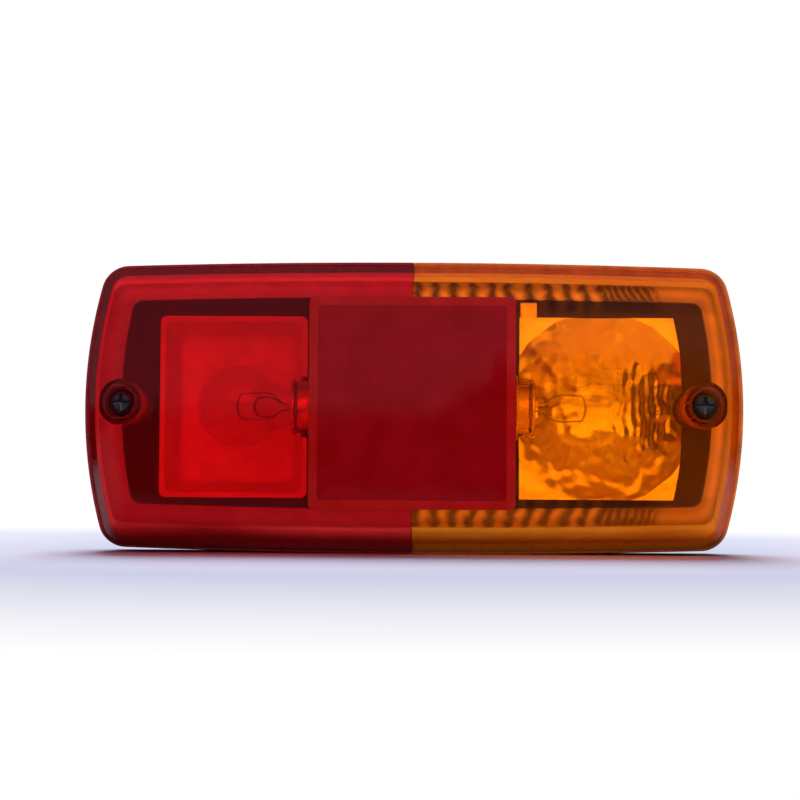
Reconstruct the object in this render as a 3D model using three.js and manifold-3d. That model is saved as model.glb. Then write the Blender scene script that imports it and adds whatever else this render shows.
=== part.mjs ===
// Trailer tail light: a black rear housing on a rubber pad, a two-colour lens cover held by two screws, a reflex
// reflector in the middle of the cover, and behind it two bayonet bulbs in sockets that point away from each other.
// Millimetres. X is to the right seen from the front, Y runs from the lens towards the trailer, Z is up.
// The origin is the centre of the pad's mounting face, which lies in the plane y = 0; the lens faces -Y.
import * as THREE from "three";
import { mergeVertices } from "three/addons/utils/BufferGeometryUtils.js";
import Module from "manifold-3d";

// ---- Outline: a barrel shape with bowed ends, slightly bowed long edges and rounded corners ----
const HALF_LENGTH = 105;
const HALF_HEIGHT = 46.5;
const END_BOW_RADIUS = 147;
const EDGE_BOW_RADIUS = 2800;
const CORNER_RADIUS = 9;
const LEAST_CORNER_RADIUS = 3.5;

// ---- Depths, from the mounting face (0) to the front of the lens ----
const PAD_FRONT = -3;
const FLOOR_FRONT = -6;
const RIM_BACK = -21;
const RIM_FRONT = -23;
const LENS_BACK = -25;
const LENS_FLANGE_FRONT = -27;
const LENS_FRONT = -58;
const REFLEX_FRONT = -59.6;
const WALL = 2.5;
const REST_GAP = 0.2;

// ---- Fixings ----
const BOLT_HALF_PITCH = 76;
const BOLT_RADIUS = 3;
const BOLT_END = 22;
const BOLT_HEAD_ACROSS_FLATS = 10;
const BOLT_HEAD_HEIGHT = 4;
const PANEL_THICKNESS = 3;
const WASHER_RADIUS = 6;
const WASHER_THICKNESS = 1.5;
const NUT_HEIGHT = 5.5;
const NUT_COLLAR_HEIGHT = 2;
const SCREW_X = 89.5;
const SCREW_RADIUS = 2;
const SCREW_HEAD_RADIUS = 4.1;
const SCREW_HEAD_BACK = -48.6;
const SCREW_HEAD_FRONT = -51;
const SCREW_END = -10.6;
const SCREW_POCKET_RADIUS = 5;
const SCREW_POCKET_FLOOR = -47;
const BOSS_HEAD_RADIUS = 7;
const BOSS_RADIUS = 5.5;
const BOSS_END = -19.3;
const POST_RADIUS = 4.5;
const POST_FRONT = -19;
const INSERT_RADIUS = 3;
const INSERT_BACK = -9;

// ---- Cable inlet ----
const CABLE_Z = -33;
const CABLE_HOLE_RADIUS = 6.3;
const CABLE_BORE_RADIUS = 3.5;
const GROMMET_FLANGE_RADIUS = 8;

// ---- Bulbs and sockets: both lie on one axis along X, mirrored about the middle ----
const BULB_AXIS_Y = -27;
const SOCKET_BOTTOM = 8;
const SOCKET_MOUTH = 38.5;
const SOCKET_BORE = 7.75;
const SOCKET_RADIUS = 8.35;
const COLLAR_RADIUS = 10.5;
const COLLAR_BACK = 32.2;
const DISC_BACK = 14.3;
const DISC_FRONT = 16.1;
const DISC_RADIUS = 7;
const BULB_CONTACT = 16.5;
const CAP_BACK = 17.4;
const CAP_FRONT = 37;
const CAP_RADIUS = 7.5;
const GLASS_RADIUS = 13.25;
const GLASS_CENTRE = 55.5;
const BAYONET_PIN_RADIUS = 1;
const BAYONET_PIN_REACH = 8.7;
const BAYONET_PIN_PLACE = 23.3;
const BAYONET_PIN_OFFSET = 3;
const PUSH_TRAVEL = 2;
const TWIST_DEGREES = 20;
const CONTACT_PAIR_OFFSET = 3;

// ---- Bulb carrier, terminals and reflectors ----
const CARRIER_HALF_LENGTH = 32;
const CARRIER_WALL = 2;
const TERMINAL_Z = 30;
const TERMINAL_PITCH = 12;
const WIRE_RADIUS = 0.9;
const REFLECTOR_RIM = -27;
const REFLECTOR_WALL = 1.2;
const REFLECTOR_HALF_HEIGHT = 29;
const BOWL_CENTRE = 59.5;
const BOWL_RADIUS = 31;
const BOWL_BOTTOM = -11;
const TRAY_FLOOR = -12.5;

const wasm = await Module();
wasm.setup();

// ---- Solids ----

// A closed geometry as a manifold solid with its faces pointing out.
function solid(geometry) {
  geometry.deleteAttribute("normal");
  geometry.deleteAttribute("uv");
  const merged = mergeVertices(geometry, 1e-4);
  const triVerts = new Uint32Array(merged.index.array);
  const vertProperties = merged.attributes.position.array;
  const made = new wasm.Manifold(new wasm.Mesh({ numProp: 3, vertProperties, triVerts }));
  if (made.volume() > 0) return made;
  for (let i = 0; i < triVerts.length; i += 3) {
    const second = triVerts[i + 1];
    triVerts[i + 1] = triVerts[i + 2];
    triVerts[i + 2] = second;
  }
  return new wasm.Manifold(new wasm.Mesh({ numProp: 3, vertProperties, triVerts }));
}

function geometryOf(shape) {
  const mesh = shape.getMesh();
  const geometry = new THREE.BufferGeometry();
  const positions = new Float32Array(mesh.vertProperties);
  geometry.setAttribute("position", new THREE.BufferAttribute(positions, 3));
  geometry.setIndex(new THREE.BufferAttribute(new Uint32Array(mesh.triVerts), 1));
  geometry.computeVertexNormals();
  return geometry;
}

function joined(first, ...others) {
  return others.reduce((sum, other) => sum.add(other), first);
}

function cut(first, ...others) {
  return others.reduce((rest, other) => rest.subtract(other), first);
}

function block([x0, y0, z0], [x1, y1, z1]) {
  const box = new THREE.BoxGeometry(x1 - x0, y1 - y0, z1 - z0);
  return solid(box.translate((x0 + x1) / 2, (y0 + y1) / 2, (z0 + z1) / 2));
}

// A profile of [radius, height] points turned about an axis parallel to Y through (x, z). The profile starts and
// ends on the axis, or it is closed here.
function turned(profile, x = 0, z = 0, sides = 24) {
  const points = profile.map(([radius, height]) => new THREE.Vector2(radius, height));
  const onAxis = profile[0][0] === 0 && profile[profile.length - 1][0] === 0;
  if (!onAxis) points.push(points[0].clone());
  return solid(new THREE.LatheGeometry(points, sides).translate(x, 0, z));
}

// The same, turned about the X axis: heights run along +X.
function turnedAlongX(profile, sides = 24) {
  const points = profile.map(([radius, height]) => new THREE.Vector2(radius, height));
  const onAxis = profile[0][0] === 0 && profile[profile.length - 1][0] === 0;
  if (!onAxis) points.push(points[0].clone());
  return solid(new THREE.LatheGeometry(points, sides).rotateZ(-Math.PI / 2));
}

function rod(radius, y0, y1, x = 0, z = 0, sides = 24) {
  return turned([[0, y0], [radius, y0], [radius, y1], [0, y1]], x, z, sides);
}

function rodAlongX(radius, x0, x1, sides = 24) {
  return turnedAlongX([[0, x0], [radius, x0], [radius, x1], [0, x1]], sides);
}

function hexagon(acrossFlats, y0, y1, x) {
  return rod(acrossFlats / Math.sqrt(3), y0, y1, x, 0, 6);
}

// A round tube along a smooth curve through the given points.
function tube(points, radius, steps, sides = 8) {
  const section = new THREE.Shape();
  for (let i = 0; i < sides; i += 1) {
    const angle = (2 * Math.PI * i) / sides;
    const corner = [radius * Math.cos(angle), radius * Math.sin(angle)];
    if (i === 0) section.moveTo(...corner);
    else section.lineTo(...corner);
  }
  const extrudePath = new THREE.CatmullRomCurve3(points.map((point) => new THREE.Vector3(...point)));
  return solid(new THREE.ExtrudeGeometry(section, { steps, bevelEnabled: false, extrudePath }));
}

// ---- Rings and lofts: a ring is a list of [x, z] points, anticlockwise seen from the front ----

function arc(cx, cz, radius, from, to, segments, skipFirst) {
  const points = [];
  for (let i = skipFirst ? 1 : 0; i <= segments; i += 1) {
    const angle = from + ((to - from) * i) / segments;
    points.push([cx + radius * Math.cos(angle), cz + radius * Math.sin(angle)]);
  }
  return points;
}

// The lamp's outline moved inwards by inset. The corner circle touches the end arc and the long-edge arc.
function outline(inset) {
  const corner = Math.max(CORNER_RADIUS - inset, LEAST_CORNER_RADIUS);
  const endCentre = HALF_LENGTH - END_BOW_RADIUS;
  const edgeCentre = HALF_HEIGHT - EDGE_BOW_RADIUS;
  const fromEnd = END_BOW_RADIUS - inset - corner;
  const fromEdge = EDGE_BOW_RADIUS - inset - corner;
  const apart = Math.hypot(endCentre, edgeCentre);
  const along = (fromEnd ** 2 - fromEdge ** 2 + apart ** 2) / (2 * apart);
  const aside = Math.sqrt(fromEnd ** 2 - along ** 2);
  const unitX = -endCentre / apart;
  const unitZ = edgeCentre / apart;
  const cornerX = endCentre + along * unitX - aside * unitZ;
  const cornerZ = along * unitZ + aside * unitX;
  const endAngle = Math.atan2(cornerZ, cornerX - endCentre);
  const edgeAngle = Math.atan2(cornerZ - edgeCentre, cornerX);
  const quadrant = [
    ...arc(endCentre, 0, END_BOW_RADIUS - inset, 0, endAngle, 3, false),
    ...arc(cornerX, cornerZ, corner, endAngle, edgeAngle, 4, true),
    ...arc(0, edgeCentre, EDGE_BOW_RADIUS - inset, edgeAngle, Math.PI / 2, 3, true),
  ];
  return [
    ...quadrant,
    ...quadrant.slice(0, -1).reverse().map(([x, z]) => [-x, z]),
    ...quadrant.slice(1).map(([x, z]) => [-x, -z]),
    ...quadrant.slice(1, -1).reverse().map(([x, z]) => [x, -z]),
  ];
}

function roundedRectangle(x0, x1, halfHeight, corner) {
  const left = x0 + corner;
  const right = x1 - corner;
  const top = halfHeight - corner;
  const quarter = Math.PI / 2;
  return [
    ...arc(right, top, corner, 0, quarter, 3, false),
    ...arc(left, top, corner, quarter, 2 * quarter, 3, false),
    ...arc(left, -top, corner, 2 * quarter, 3 * quarter, 3, false),
    ...arc(right, -top, corner, 3 * quarter, 4 * quarter, 3, false),
  ];
}

// Skins a list of [ring, y] sections, ordered from back to front, and closes both ends.
function loft(sections) {
  const count = sections[0][0].length;
  const positions = [];
  const index = [];
  for (const [ring, y] of sections) {
    for (const [x, z] of ring) positions.push(x, y, z);
  }
  for (let level = 0; level < sections.length - 1; level += 1) {
    for (let i = 0; i < count; i += 1) {
      const a = level * count + i;
      const b = level * count + ((i + 1) % count);
      index.push(a, b, b + count, a, b + count, a + count);
    }
  }
  const front = (sections.length - 1) * count;
  for (let i = 1; i < count - 1; i += 1) {
    index.push(front, front + i, front + i + 1);
    index.push(0, i + 1, i);
  }
  const geometry = new THREE.BufferGeometry();
  geometry.setAttribute("position", new THREE.Float32BufferAttribute(positions, 3));
  geometry.setIndex(index);
  return solid(geometry);
}

// A loft of the lamp's outline through [inset, y] pairs.
function outlineLoft(levels) {
  return loft(levels.map(([inset, y]) => [outline(inset), y]));
}

// ---- Scene graph helpers ----

const FINISHES = {
  redLens: [0xb5141c, 0.12, 0],
  amberLens: [0xee7a14, 0.12, 0],
  reflexRed: [0x76060a, 0.1, 0],
  blackPlastic: [0x16171a, 0.5, 0],
  greyPlastic: [0x4a4c50, 0.5, 0],
  rubber: [0x121212, 0.85, 0],
  mirror: [0xd9dbe0, 0.12, 1],
  zincSteel: [0xb9bcc2, 0.35, 1],
  blackSteel: [0x1a1b1d, 0.4, 0.8],
  springSteel: [0x9a9da3, 0.3, 1],
  brass: [0xb9923f, 0.3, 1],
  nickel: [0xc6c3b8, 0.25, 1],
  solder: [0xa9abae, 0.4, 1],
  clearGlass: [0xdfe6ea, 0.03, 0],
  darkGlass: [0x1c1420, 0.2, 0],
  tungsten: [0x6f7076, 0.4, 1],
  phenolic: [0x5a3320, 0.6, 0],
  blueWire: [0x20407f, 0.45, 0],
  whiteWire: [0xd8d6cf, 0.45, 0],
  greenWire: [0x2c7a3a, 0.45, 0],
  redWire: [0xa4201d, 0.45, 0],
};

function addPart(group, name, shape, finish) {
  const [color, roughness, metalness] = FINISHES[finish];
  const material = new THREE.MeshStandardMaterial({ color, roughness, metalness });
  const mesh = new THREE.Mesh(geometryOf(shape), material);
  mesh.name = name;
  group.add(mesh);
}

const SIDES = [["left", -1], ["right", 1]];

// ---- Housing, pad and mounting hardware ----

function mountingPad() {
  const plate = outlineLoft([[2.6, 0], [2.6, PAD_FRONT + 0.1]]);
  const boltHoles = SIDES.map(([, sign]) => rod(BOLT_RADIUS + 0.4, -5, 2, sign * BOLT_HALF_PITCH));
  const cableHole = rod(GROMMET_FLANGE_RADIUS + 0.9, -5, 2, 0, CABLE_Z);
  return cut(plate, ...boltHoles, cableHole);
}

function rearHousing() {
  const outside = outlineLoft([[2.5, PAD_FRONT], [0.5, RIM_BACK], [0, RIM_BACK], [0, RIM_FRONT]]);
  const inside = outlineLoft([[5, FLOOR_FRONT], [3, RIM_FRONT - 1]]);
  const posts = SIDES.map(([, sign]) => rod(POST_RADIUS, FLOOR_FRONT + 1, POST_FRONT, sign * SCREW_X));
  const holes = SIDES.flatMap(([, sign]) => [
    rod(INSERT_RADIUS + 0.3, INSERT_BACK + 0.3, POST_FRONT - 1, sign * SCREW_X, 0, 12),
    rod(BOLT_RADIUS + 0.4, 0, -12, sign * BOLT_HALF_PITCH),
  ]);
  const cableHole = rod(CABLE_HOLE_RADIUS, 0, -12, 0, CABLE_Z);
  return cut(joined(cut(outside, inside), ...posts), ...holes, cableHole);
}

function mountingBolt(x) {
  const headBack = FLOOR_FRONT - REST_GAP;
  const head = hexagon(BOLT_HEAD_ACROSS_FLATS, headBack - BOLT_HEAD_HEIGHT, headBack, x);
  const shank = turned([
    [0, headBack - 1],
    [BOLT_RADIUS, headBack - 1],
    [BOLT_RADIUS, BOLT_END - 0.8],
    [BOLT_RADIUS - 0.8, BOLT_END],
    [0, BOLT_END],
  ], x);
  return joined(head, shank);
}

function plainWasher(x) {
  const inner = BOLT_RADIUS + 0.3;
  const far = PANEL_THICKNESS + WASHER_THICKNESS;
  return turned([[inner, PANEL_THICKNESS], [WASHER_RADIUS, PANEL_THICKNESS], [WASHER_RADIUS, far], [inner, far]], x);
}

function lockNut(x) {
  const start = PANEL_THICKNESS + WASHER_THICKNESS + REST_GAP;
  const body = hexagon(BOLT_HEAD_ACROSS_FLATS, start, start + NUT_HEIGHT, x);
  const collarEnd = start + NUT_HEIGHT + NUT_COLLAR_HEIGHT;
  const collar = rod(4.4, start + NUT_HEIGHT - 1, collarEnd, x);
  return cut(joined(body, collar), rod(BOLT_RADIUS + 0.3, start - 1, collarEnd + 1, x));
}

function screwInsert(x) {
  const bore = SCREW_RADIUS + 0.35;
  const front = POST_FRONT + 0.1;
  return turned([[bore, front], [INSERT_RADIUS, front], [INSERT_RADIUS, INSERT_BACK], [bore, INSERT_BACK]], x, 0, 12);
}

// A rubber bush with a flange on each side of the housing floor and a short tapered nose inside.
function cableGrommet() {
  const nose = -14;
  const insideFlange = FLOOR_FRONT - 0.3;
  const outsideFlange = PAD_FRONT + 0.3;
  return turned([
    [CABLE_BORE_RADIUS, nose],
    [5, nose],
    [5.8, insideFlange - 2],
    [GROMMET_FLANGE_RADIUS, insideFlange - 2],
    [GROMMET_FLANGE_RADIUS, insideFlange],
    [6, insideFlange],
    [6, outsideFlange],
    [GROMMET_FLANGE_RADIUS, outsideFlange],
    [GROMMET_FLANGE_RADIUS, -0.6],
    [CABLE_BORE_RADIUS, -0.6],
  ], 0, CABLE_Z, 16);
}

function lensGasket() {
  const back = RIM_FRONT - 0.1;
  const front = LENS_BACK + 0.1;
  const outside = outlineLoft([[0.3, back], [0.3, front]]);
  return cut(outside, outlineLoft([[3.2, back + 1], [3.2, front - 1]]));
}

// ---- Lens cover: flange, tapered side wall, rolled shoulder, bevel and flat front, with a screw boss at each end ----

function lensShell() {
  const outside = outlineLoft([
    [0, LENS_BACK],
    [0, LENS_FLANGE_FRONT],
    [0.8, LENS_FLANGE_FRONT],
    [7.2, -49.5],
    [8.5, -52],
    [13.2, -57],
    [14.8, LENS_FRONT],
  ]);
  const inside = outlineLoft([
    [3.3, LENS_BACK + 1],
    [3.3, LENS_FLANGE_FRONT],
    [9.4, -48],
    [10.8, -50.5],
    [15.2, -54.9],
    [16.6, LENS_FRONT + WALL],
  ]);
  const bosses = SIDES.map(([, sign]) => joined(
    rod(BOSS_HEAD_RADIUS, LENS_FRONT - 1, SCREW_POCKET_FLOOR + 1.5, sign * SCREW_X),
    rod(BOSS_RADIUS, SCREW_POCKET_FLOOR, BOSS_END, sign * SCREW_X),
  ));
  const pockets = SIDES.flatMap(([, sign]) => [
    rod(SCREW_POCKET_RADIUS, LENS_FRONT - 2, SCREW_POCKET_FLOOR, sign * SCREW_X),
    rod(SCREW_RADIUS + 0.35, LENS_FRONT, BOSS_END + 1, sign * SCREW_X, 0, 16),
  ]);
  const reach = outlineLoft([[3.5, BOSS_END + 2], [3.5, LENS_FLANGE_FRONT]]);
  const body = joined(outside, reach);
  const bossesInside = bosses.map((boss) => boss.intersect(body));
  const reflexOpening = block([-29, LENS_FRONT - 1, -30], [29, LENS_FRONT + 5, 30]);
  return cut(joined(cut(outside, inside), ...bossesInside), ...pockets, reflexOpening);
}

function lensHalf(shell, sign) {
  const near = 0.05;
  const corners = [sign * near, sign * (HALF_LENGTH + 5)].sort((a, b) => a - b);
  const half = block([corners[0], LENS_FRONT - 5, -60], [corners[1], 0, 60]);
  return shell.intersect(half);
}

// The raised red panel in the middle: a sloping border 3 mm wide and a plug that fills the lens opening.
function reflexReflector() {
  const back = LENS_FRONT - 0.1;
  const plate = loft([
    [roundedRectangle(-31.3, 31.3, 32.2, 1.5), back],
    [roundedRectangle(-31.3, 31.3, 32.2, 1.5), back - 0.5],
    [roundedRectangle(-28.5, 28.5, 29.4, 1), REFLEX_FRONT],
  ]);
  return joined(plate, block([-28.6, back - 0.5, -29.6], [28.6, LENS_FRONT + 4, 29.6]));
}

function reflexBackPlate() {
  const ring = roundedRectangle(-27, 27, 28, 2);
  return loft([[ring, LENS_FRONT + 6], [ring, LENS_FRONT + 4.1]]);
}

function screwSeal(x) {
  const back = SCREW_POCKET_FLOOR - REST_GAP;
  const front = SCREW_HEAD_BACK + REST_GAP;
  return turned([[2.4, front], [4.2, front], [4.4, (front + back) / 2], [4.2, back], [2.4, back]], x, 0, 16);
}

// A pan-head screw with a cross recess. The threaded shank is plain.
function lensScrew(x) {
  const body = turned([
    [0, SCREW_HEAD_FRONT],
    [2.6, SCREW_HEAD_FRONT],
    [3.7, SCREW_HEAD_FRONT + 0.5],
    [SCREW_HEAD_RADIUS, SCREW_HEAD_FRONT + 1.3],
    [SCREW_HEAD_RADIUS, SCREW_HEAD_BACK],
    [SCREW_RADIUS, SCREW_HEAD_BACK],
    [SCREW_RADIUS, SCREW_END - 0.8],
    [SCREW_RADIUS - 0.8, SCREW_END],
    [0, SCREW_END],
  ], x, 0, 16);
  const long = 2.6;
  const narrow = 0.45;
  const recessFloor = SCREW_HEAD_FRONT + 1.5;
  const across = block([x - long, SCREW_HEAD_FRONT - 1, -narrow], [x + long, recessFloor, narrow]);
  const upright = block([x - narrow, SCREW_HEAD_FRONT - 1, -long], [x + narrow, recessFloor, long]);
  return cut(body, across, upright);
}

// ---- Bulb carrier and wiring ----

// A base plate with an end wall at each side; each wall has a round top and a hole for a socket.
function bulbCarrier() {
  const back = FLOOR_FRONT - REST_GAP;
  const base = block([-CARRIER_HALF_LENGTH, back - 2, -24], [CARRIER_HALF_LENGTH, back, 24]);
  const walls = SIDES.map(([, sign]) => {
    const ends = [sign * (CARRIER_HALF_LENGTH - CARRIER_WALL), sign * CARRIER_HALF_LENGTH].sort((a, b) => a - b);
    const upright = block([ends[0], BULB_AXIS_Y, -14], [ends[1], back - 1, 14]);
    const top = rodAlongX(14, ends[0], ends[1], 32).translate([0, BULB_AXIS_Y, 0]);
    return joined(upright, top);
  });
  const hole = rodAlongX(SOCKET_RADIUS + 0.45, -40, 40, 32).translate([0, BULB_AXIS_Y, 0]);
  return cut(joined(base, ...walls), hole);
}

// A brass strip under both sockets, with a finger that reaches up to each.
function earthStrap() {
  const bottom = FLOOR_FRONT - REST_GAP - 2.3;
  const fingerTop = BULB_AXIS_Y + SOCKET_RADIUS + 0.3;
  const strip = block([-25, bottom - 0.8, -3], [25, bottom, 3]);
  const fingers = SIDES.map(([, sign]) => {
    const ends = [sign * 24.2, sign * 25].sort((a, b) => a - b);
    return block([ends[0], fingerTop, -3], [ends[1], bottom, 3]);
  });
  return joined(strip, ...fingers);
}

const TERMINALS = [
  { name: "stop", place: -1.5 },
  { name: "tail", place: -0.5 },
  { name: "earth", place: 0.5 },
  { name: "turn", place: 1.5 },
];
const TERMINAL_Y = -12;

function terminalBlock() {
  const body = block([-26, -18, TERMINAL_Z - 5], [26, FLOOR_FRONT - REST_GAP, TERMINAL_Z + 5]);
  const cavities = TERMINALS.flatMap(({ place }) => {
    const x = place * TERMINAL_PITCH;
    const pocket = block([x - 2.9, -15.3, TERMINAL_Z - 3.3], [x + 2.9, -8.7, TERMINAL_Z + 3.3]);
    const wireWay = block([x - 1.7, -13.7, TERMINAL_Z - 6], [x + 1.7, -10.3, TERMINAL_Z + 6]);
    return [pocket, wireWay, rod(2.7, -20, -12, x, TERMINAL_Z, 12)];
  });
  return cut(body, ...cavities);
}

function terminal(x) {
  const body = block([x - 2.6, -15, TERMINAL_Z - 3], [x + 2.6, -9, TERMINAL_Z + 3]);
  const wireHole = block([x - 1.4, -13.4, TERMINAL_Z - 4], [x + 1.4, -10.6, TERMINAL_Z + 4]);
  return cut(body, wireHole, rod(1.6, -17, -12, x, TERMINAL_Z, 12));
}

function terminalScrew(x) {
  const body = turned([[0, -17.3], [2.3, -17.3], [2.3, -15.3], [1.3, -15.3], [1.3, -13.2], [0, -13.2]], x, TERMINAL_Z, 12);
  return cut(body, block([x - 3, -18, TERMINAL_Z - 0.35], [x + 3, -16.5, TERMINAL_Z + 0.35]));
}

// Leads from the terminals. The tail and stop leads go into the left socket's bottom, the turn lead into the
// right one, and the earth lead down to the strip.
const WIRE_ROUTES = {
  turn: [[18, -12, 28], [17.5, -12, 21], [10, -14, 15], [4.5, -20, 9], [2.5, -25.5, 3.5], [5.5, -27, 0.4], [10, -27, 0]],
  tail: [[-6, -12, 28], [-6, -12, 22], [-4.2, -17, 12], [-2.8, -23.5, 6], [-5, -26.7, 2.2], [-10, -27, 1.5]],
  stop: [[-18, -12, 28], [-17, -12, 21], [-9, -12.5, 14], [-4, -16, 4], [-2.5, -23, -2.5], [-5, -26.7, -2.2], [-10, -27, -1.5]],
  earth: [[6, -12, 28], [6, -12, 22], [4.5, -11, 15], [1.5, -10.6, 8], [0, -10.6, 0]],
};

// ---- Sockets and bulbs: local frame with the bulb axis on X, the bulb pointing to +X ----

const towards = (angle) => new THREE.Matrix4().makeRotationX(THREE.MathUtils.degToRad(angle));

// A box across one side of the socket wall, turned about the bulb axis by the given angle.
function slotBox(x0, x1, upwards, angle) {
  const half = BAYONET_PIN_RADIUS + 0.35;
  const reach = upwards * 12;
  const [low, high] = reach < 0 ? [reach, 0] : [0, reach];
  const box = new THREE.BoxGeometry(x1 - x0, 2 * half, high - low);
  box.translate((x0 + x1) / 2, 0, (low + high) / 2);
  return solid(box.applyMatrix4(towards(angle)));
}

// A sheet-metal bayonet socket. Each slot runs in from the mouth and then turns; it is wide enough along the axis
// for the push that frees the pin.
function socket(pins) {
  const body = turnedAlongX([
    [3, SOCKET_BOTTOM],
    [SOCKET_RADIUS, SOCKET_BOTTOM],
    [SOCKET_RADIUS, COLLAR_BACK],
    [COLLAR_RADIUS, COLLAR_BACK],
    [COLLAR_RADIUS, COLLAR_BACK + 1],
    [SOCKET_RADIUS, COLLAR_BACK + 1],
    [SOCKET_RADIUS, SOCKET_MOUTH - 1.6],
    [9.1, SOCKET_MOUTH - 1],
    [9.1, SOCKET_MOUTH],
    [SOCKET_BORE, SOCKET_MOUTH],
    [SOCKET_BORE, SOCKET_BOTTOM + 1],
    [3, SOCKET_BOTTOM + 1],
  ], 24);
  const slots = pins.flatMap(([place, upwards]) => {
    const low = place - PUSH_TRAVEL - BAYONET_PIN_RADIUS - 0.35;
    const high = place + BAYONET_PIN_RADIUS + 0.35;
    const turns = [0, 7, 14].map((angle) => slotBox(low, high, upwards, angle));
    return [...turns, slotBox(low, SOCKET_MOUTH + 1, upwards, TWIST_DEGREES)];
  });
  return cut(body, ...slots);
}

function contactDisc(contacts) {
  const disc = rodAlongX(DISC_RADIUS, DISC_BACK, DISC_FRONT, 24);
  const holes = contacts.map((z) => rodAlongX(1.7, DISC_BACK - 1, DISC_FRONT + 1, 12).translate([0, 0, z]));
  return cut(disc, ...holes);
}

function contactPin(z) {
  return rodAlongX(1.4, DISC_BACK - 0.7, DISC_FRONT + 0.1, 12).translate([0, 0, z]);
}

function contactSpring() {
  const turns = 3.5;
  const steps = 28;
  const from = SOCKET_BOTTOM + 1.6;
  const to = DISC_BACK - 0.7;
  const points = [];
  for (let i = 0; i <= steps; i += 1) {
    const angle = (2 * Math.PI * turns * i) / steps;
    points.push([from + ((to - from) * i) / steps, 5.6 * Math.cos(angle), 5.6 * Math.sin(angle)]);
  }
  return tube(points, 0.4, steps, 5);
}

function bulbCap(pins) {
  const shell = turnedAlongX([
    [4.4, CAP_BACK],
    [CAP_RADIUS - 0.6, CAP_BACK],
    [CAP_RADIUS, CAP_BACK + 0.8],
    [CAP_RADIUS, CAP_FRONT],
    [CAP_RADIUS - 0.6, CAP_FRONT],
    [CAP_RADIUS - 0.6, CAP_BACK + 1.4],
    [4.4, CAP_BACK + 1.4],
  ], 20);
  const lugs = pins.map(([place, upwards]) => {
    const reach = [upwards * (CAP_RADIUS - 0.4), upwards * BAYONET_PIN_REACH].sort((a, b) => a - b);
    const lug = new THREE.CylinderGeometry(BAYONET_PIN_RADIUS, BAYONET_PIN_RADIUS, reach[1] - reach[0], 12);
    return solid(lug.rotateX(Math.PI / 2).translate(place, 0, (reach[0] + reach[1]) / 2));
  });
  return joined(shell, ...lugs);
}

function bulbGlass() {
  const wall = 0.6;
  const neckRadius = 6.3;
  const neckBack = 26;
  const ballStart = Math.asin(neckRadius / GLASS_RADIUS);
  const steps = 7;
  const sides = 18;
  const ball = (radius) => {
    const points = [];
    for (let i = 1; i <= steps; i += 1) {
      const angle = Math.PI - ballStart - ((Math.PI - ballStart) * i) / steps;
      points.push([i === steps ? 0 : radius * Math.sin(angle), GLASS_CENTRE + radius * Math.cos(angle)]);
    }
    return points;
  };
  const outer = [[0, neckBack], [neckRadius, neckBack], [neckRadius, 40], ...ball(GLASS_RADIUS)];
  const bore = neckRadius - wall;
  const inner = [[0, neckBack - 1], [bore, neckBack - 1], [bore, 40.3], ...ball(GLASS_RADIUS - wall)];
  return cut(turnedAlongX(outer, sides), turnedAlongX(inner, sides));
}

function bulbInsulator(contacts) {
  const plug = turnedAlongX([
    [0, BULB_CONTACT + 0.5],
    [3.9, BULB_CONTACT + 0.5],
    [3.9, CAP_BACK + 1.8],
    [6, CAP_BACK + 1.8],
    [6, CAP_BACK + 4],
    [0, CAP_BACK + 4],
  ], 16);
  const seats = contacts.map((z) => rodAlongX(1.6, BULB_CONTACT - 1, BULB_CONTACT + 2, 10).translate([0, 0, z]));
  return cut(plug, ...seats);
}

function bulbContact(z) {
  const blob = [[0, BULB_CONTACT], [0.8, BULB_CONTACT], [1.3, BULB_CONTACT + 0.4], [1.3, BULB_CONTACT + 1.7], [0, BULB_CONTACT + 1.7]];
  return turnedAlongX(blob, 10).translate([0, 0, z]);
}

function bulbStem() {
  return turnedAlongX([[0, 27], [5.2, 27], [3.4, 31], [2.6, 38], [1.6, 41], [0, 41]], 12);
}

// Two support wires with the coil stretched between their tips, as one bent wire.
function filament(height, halfWidth, aside) {
  const foot = 41.4;
  return tube([
    [foot, aside * 0.5, -1.1],
    [foot + 4, aside, -halfWidth],
    [height - 1, aside, -halfWidth],
    [height, aside, -halfWidth * 0.6],
    [height + 0.8, aside, 0],
    [height, aside, halfWidth * 0.6],
    [height - 1, aside, halfWidth],
    [foot + 4, aside, halfWidth],
    [foot, aside * 0.5, 1.1],
  ], 0.3, 18, 5);
}

// ---- Reflectors ----

const legs = (places, top) => places.map(([x, z]) => rod(2, top, FLOOR_FRONT - 0.3, x, z, 10));

// Left: a plain tray with a flat rim and four legs.
function reflectorTail() {
  const edge = [-81, -33.8];
  const level = (margin) => roundedRectangle(edge[0] + margin, edge[1] - margin, REFLECTOR_HALF_HEIGHT - margin, 2);
  const rim = loft([[level(0), REFLECTOR_RIM + REFLECTOR_WALL], [level(0), REFLECTOR_RIM]]);
  const outside = loft([[level(2.8), TRAY_FLOOR + REFLECTOR_WALL], [level(0.8), REFLECTOR_RIM + 0.5]]);
  const inside = loft([[level(4), TRAY_FLOOR], [level(2), REFLECTOR_RIM - 1]]);
  const standing = legs([[-74, 23], [-74, -23], [-40, 23], [-40, -23]], TRAY_FLOOR + 0.5);
  const socketWay = rodAlongX(SOCKET_RADIUS + 1.25, -44, -30).translate([0, BULB_AXIS_Y, 0]);
  return cut(joined(rim, outside, ...standing), inside, socketWay);
}

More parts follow.
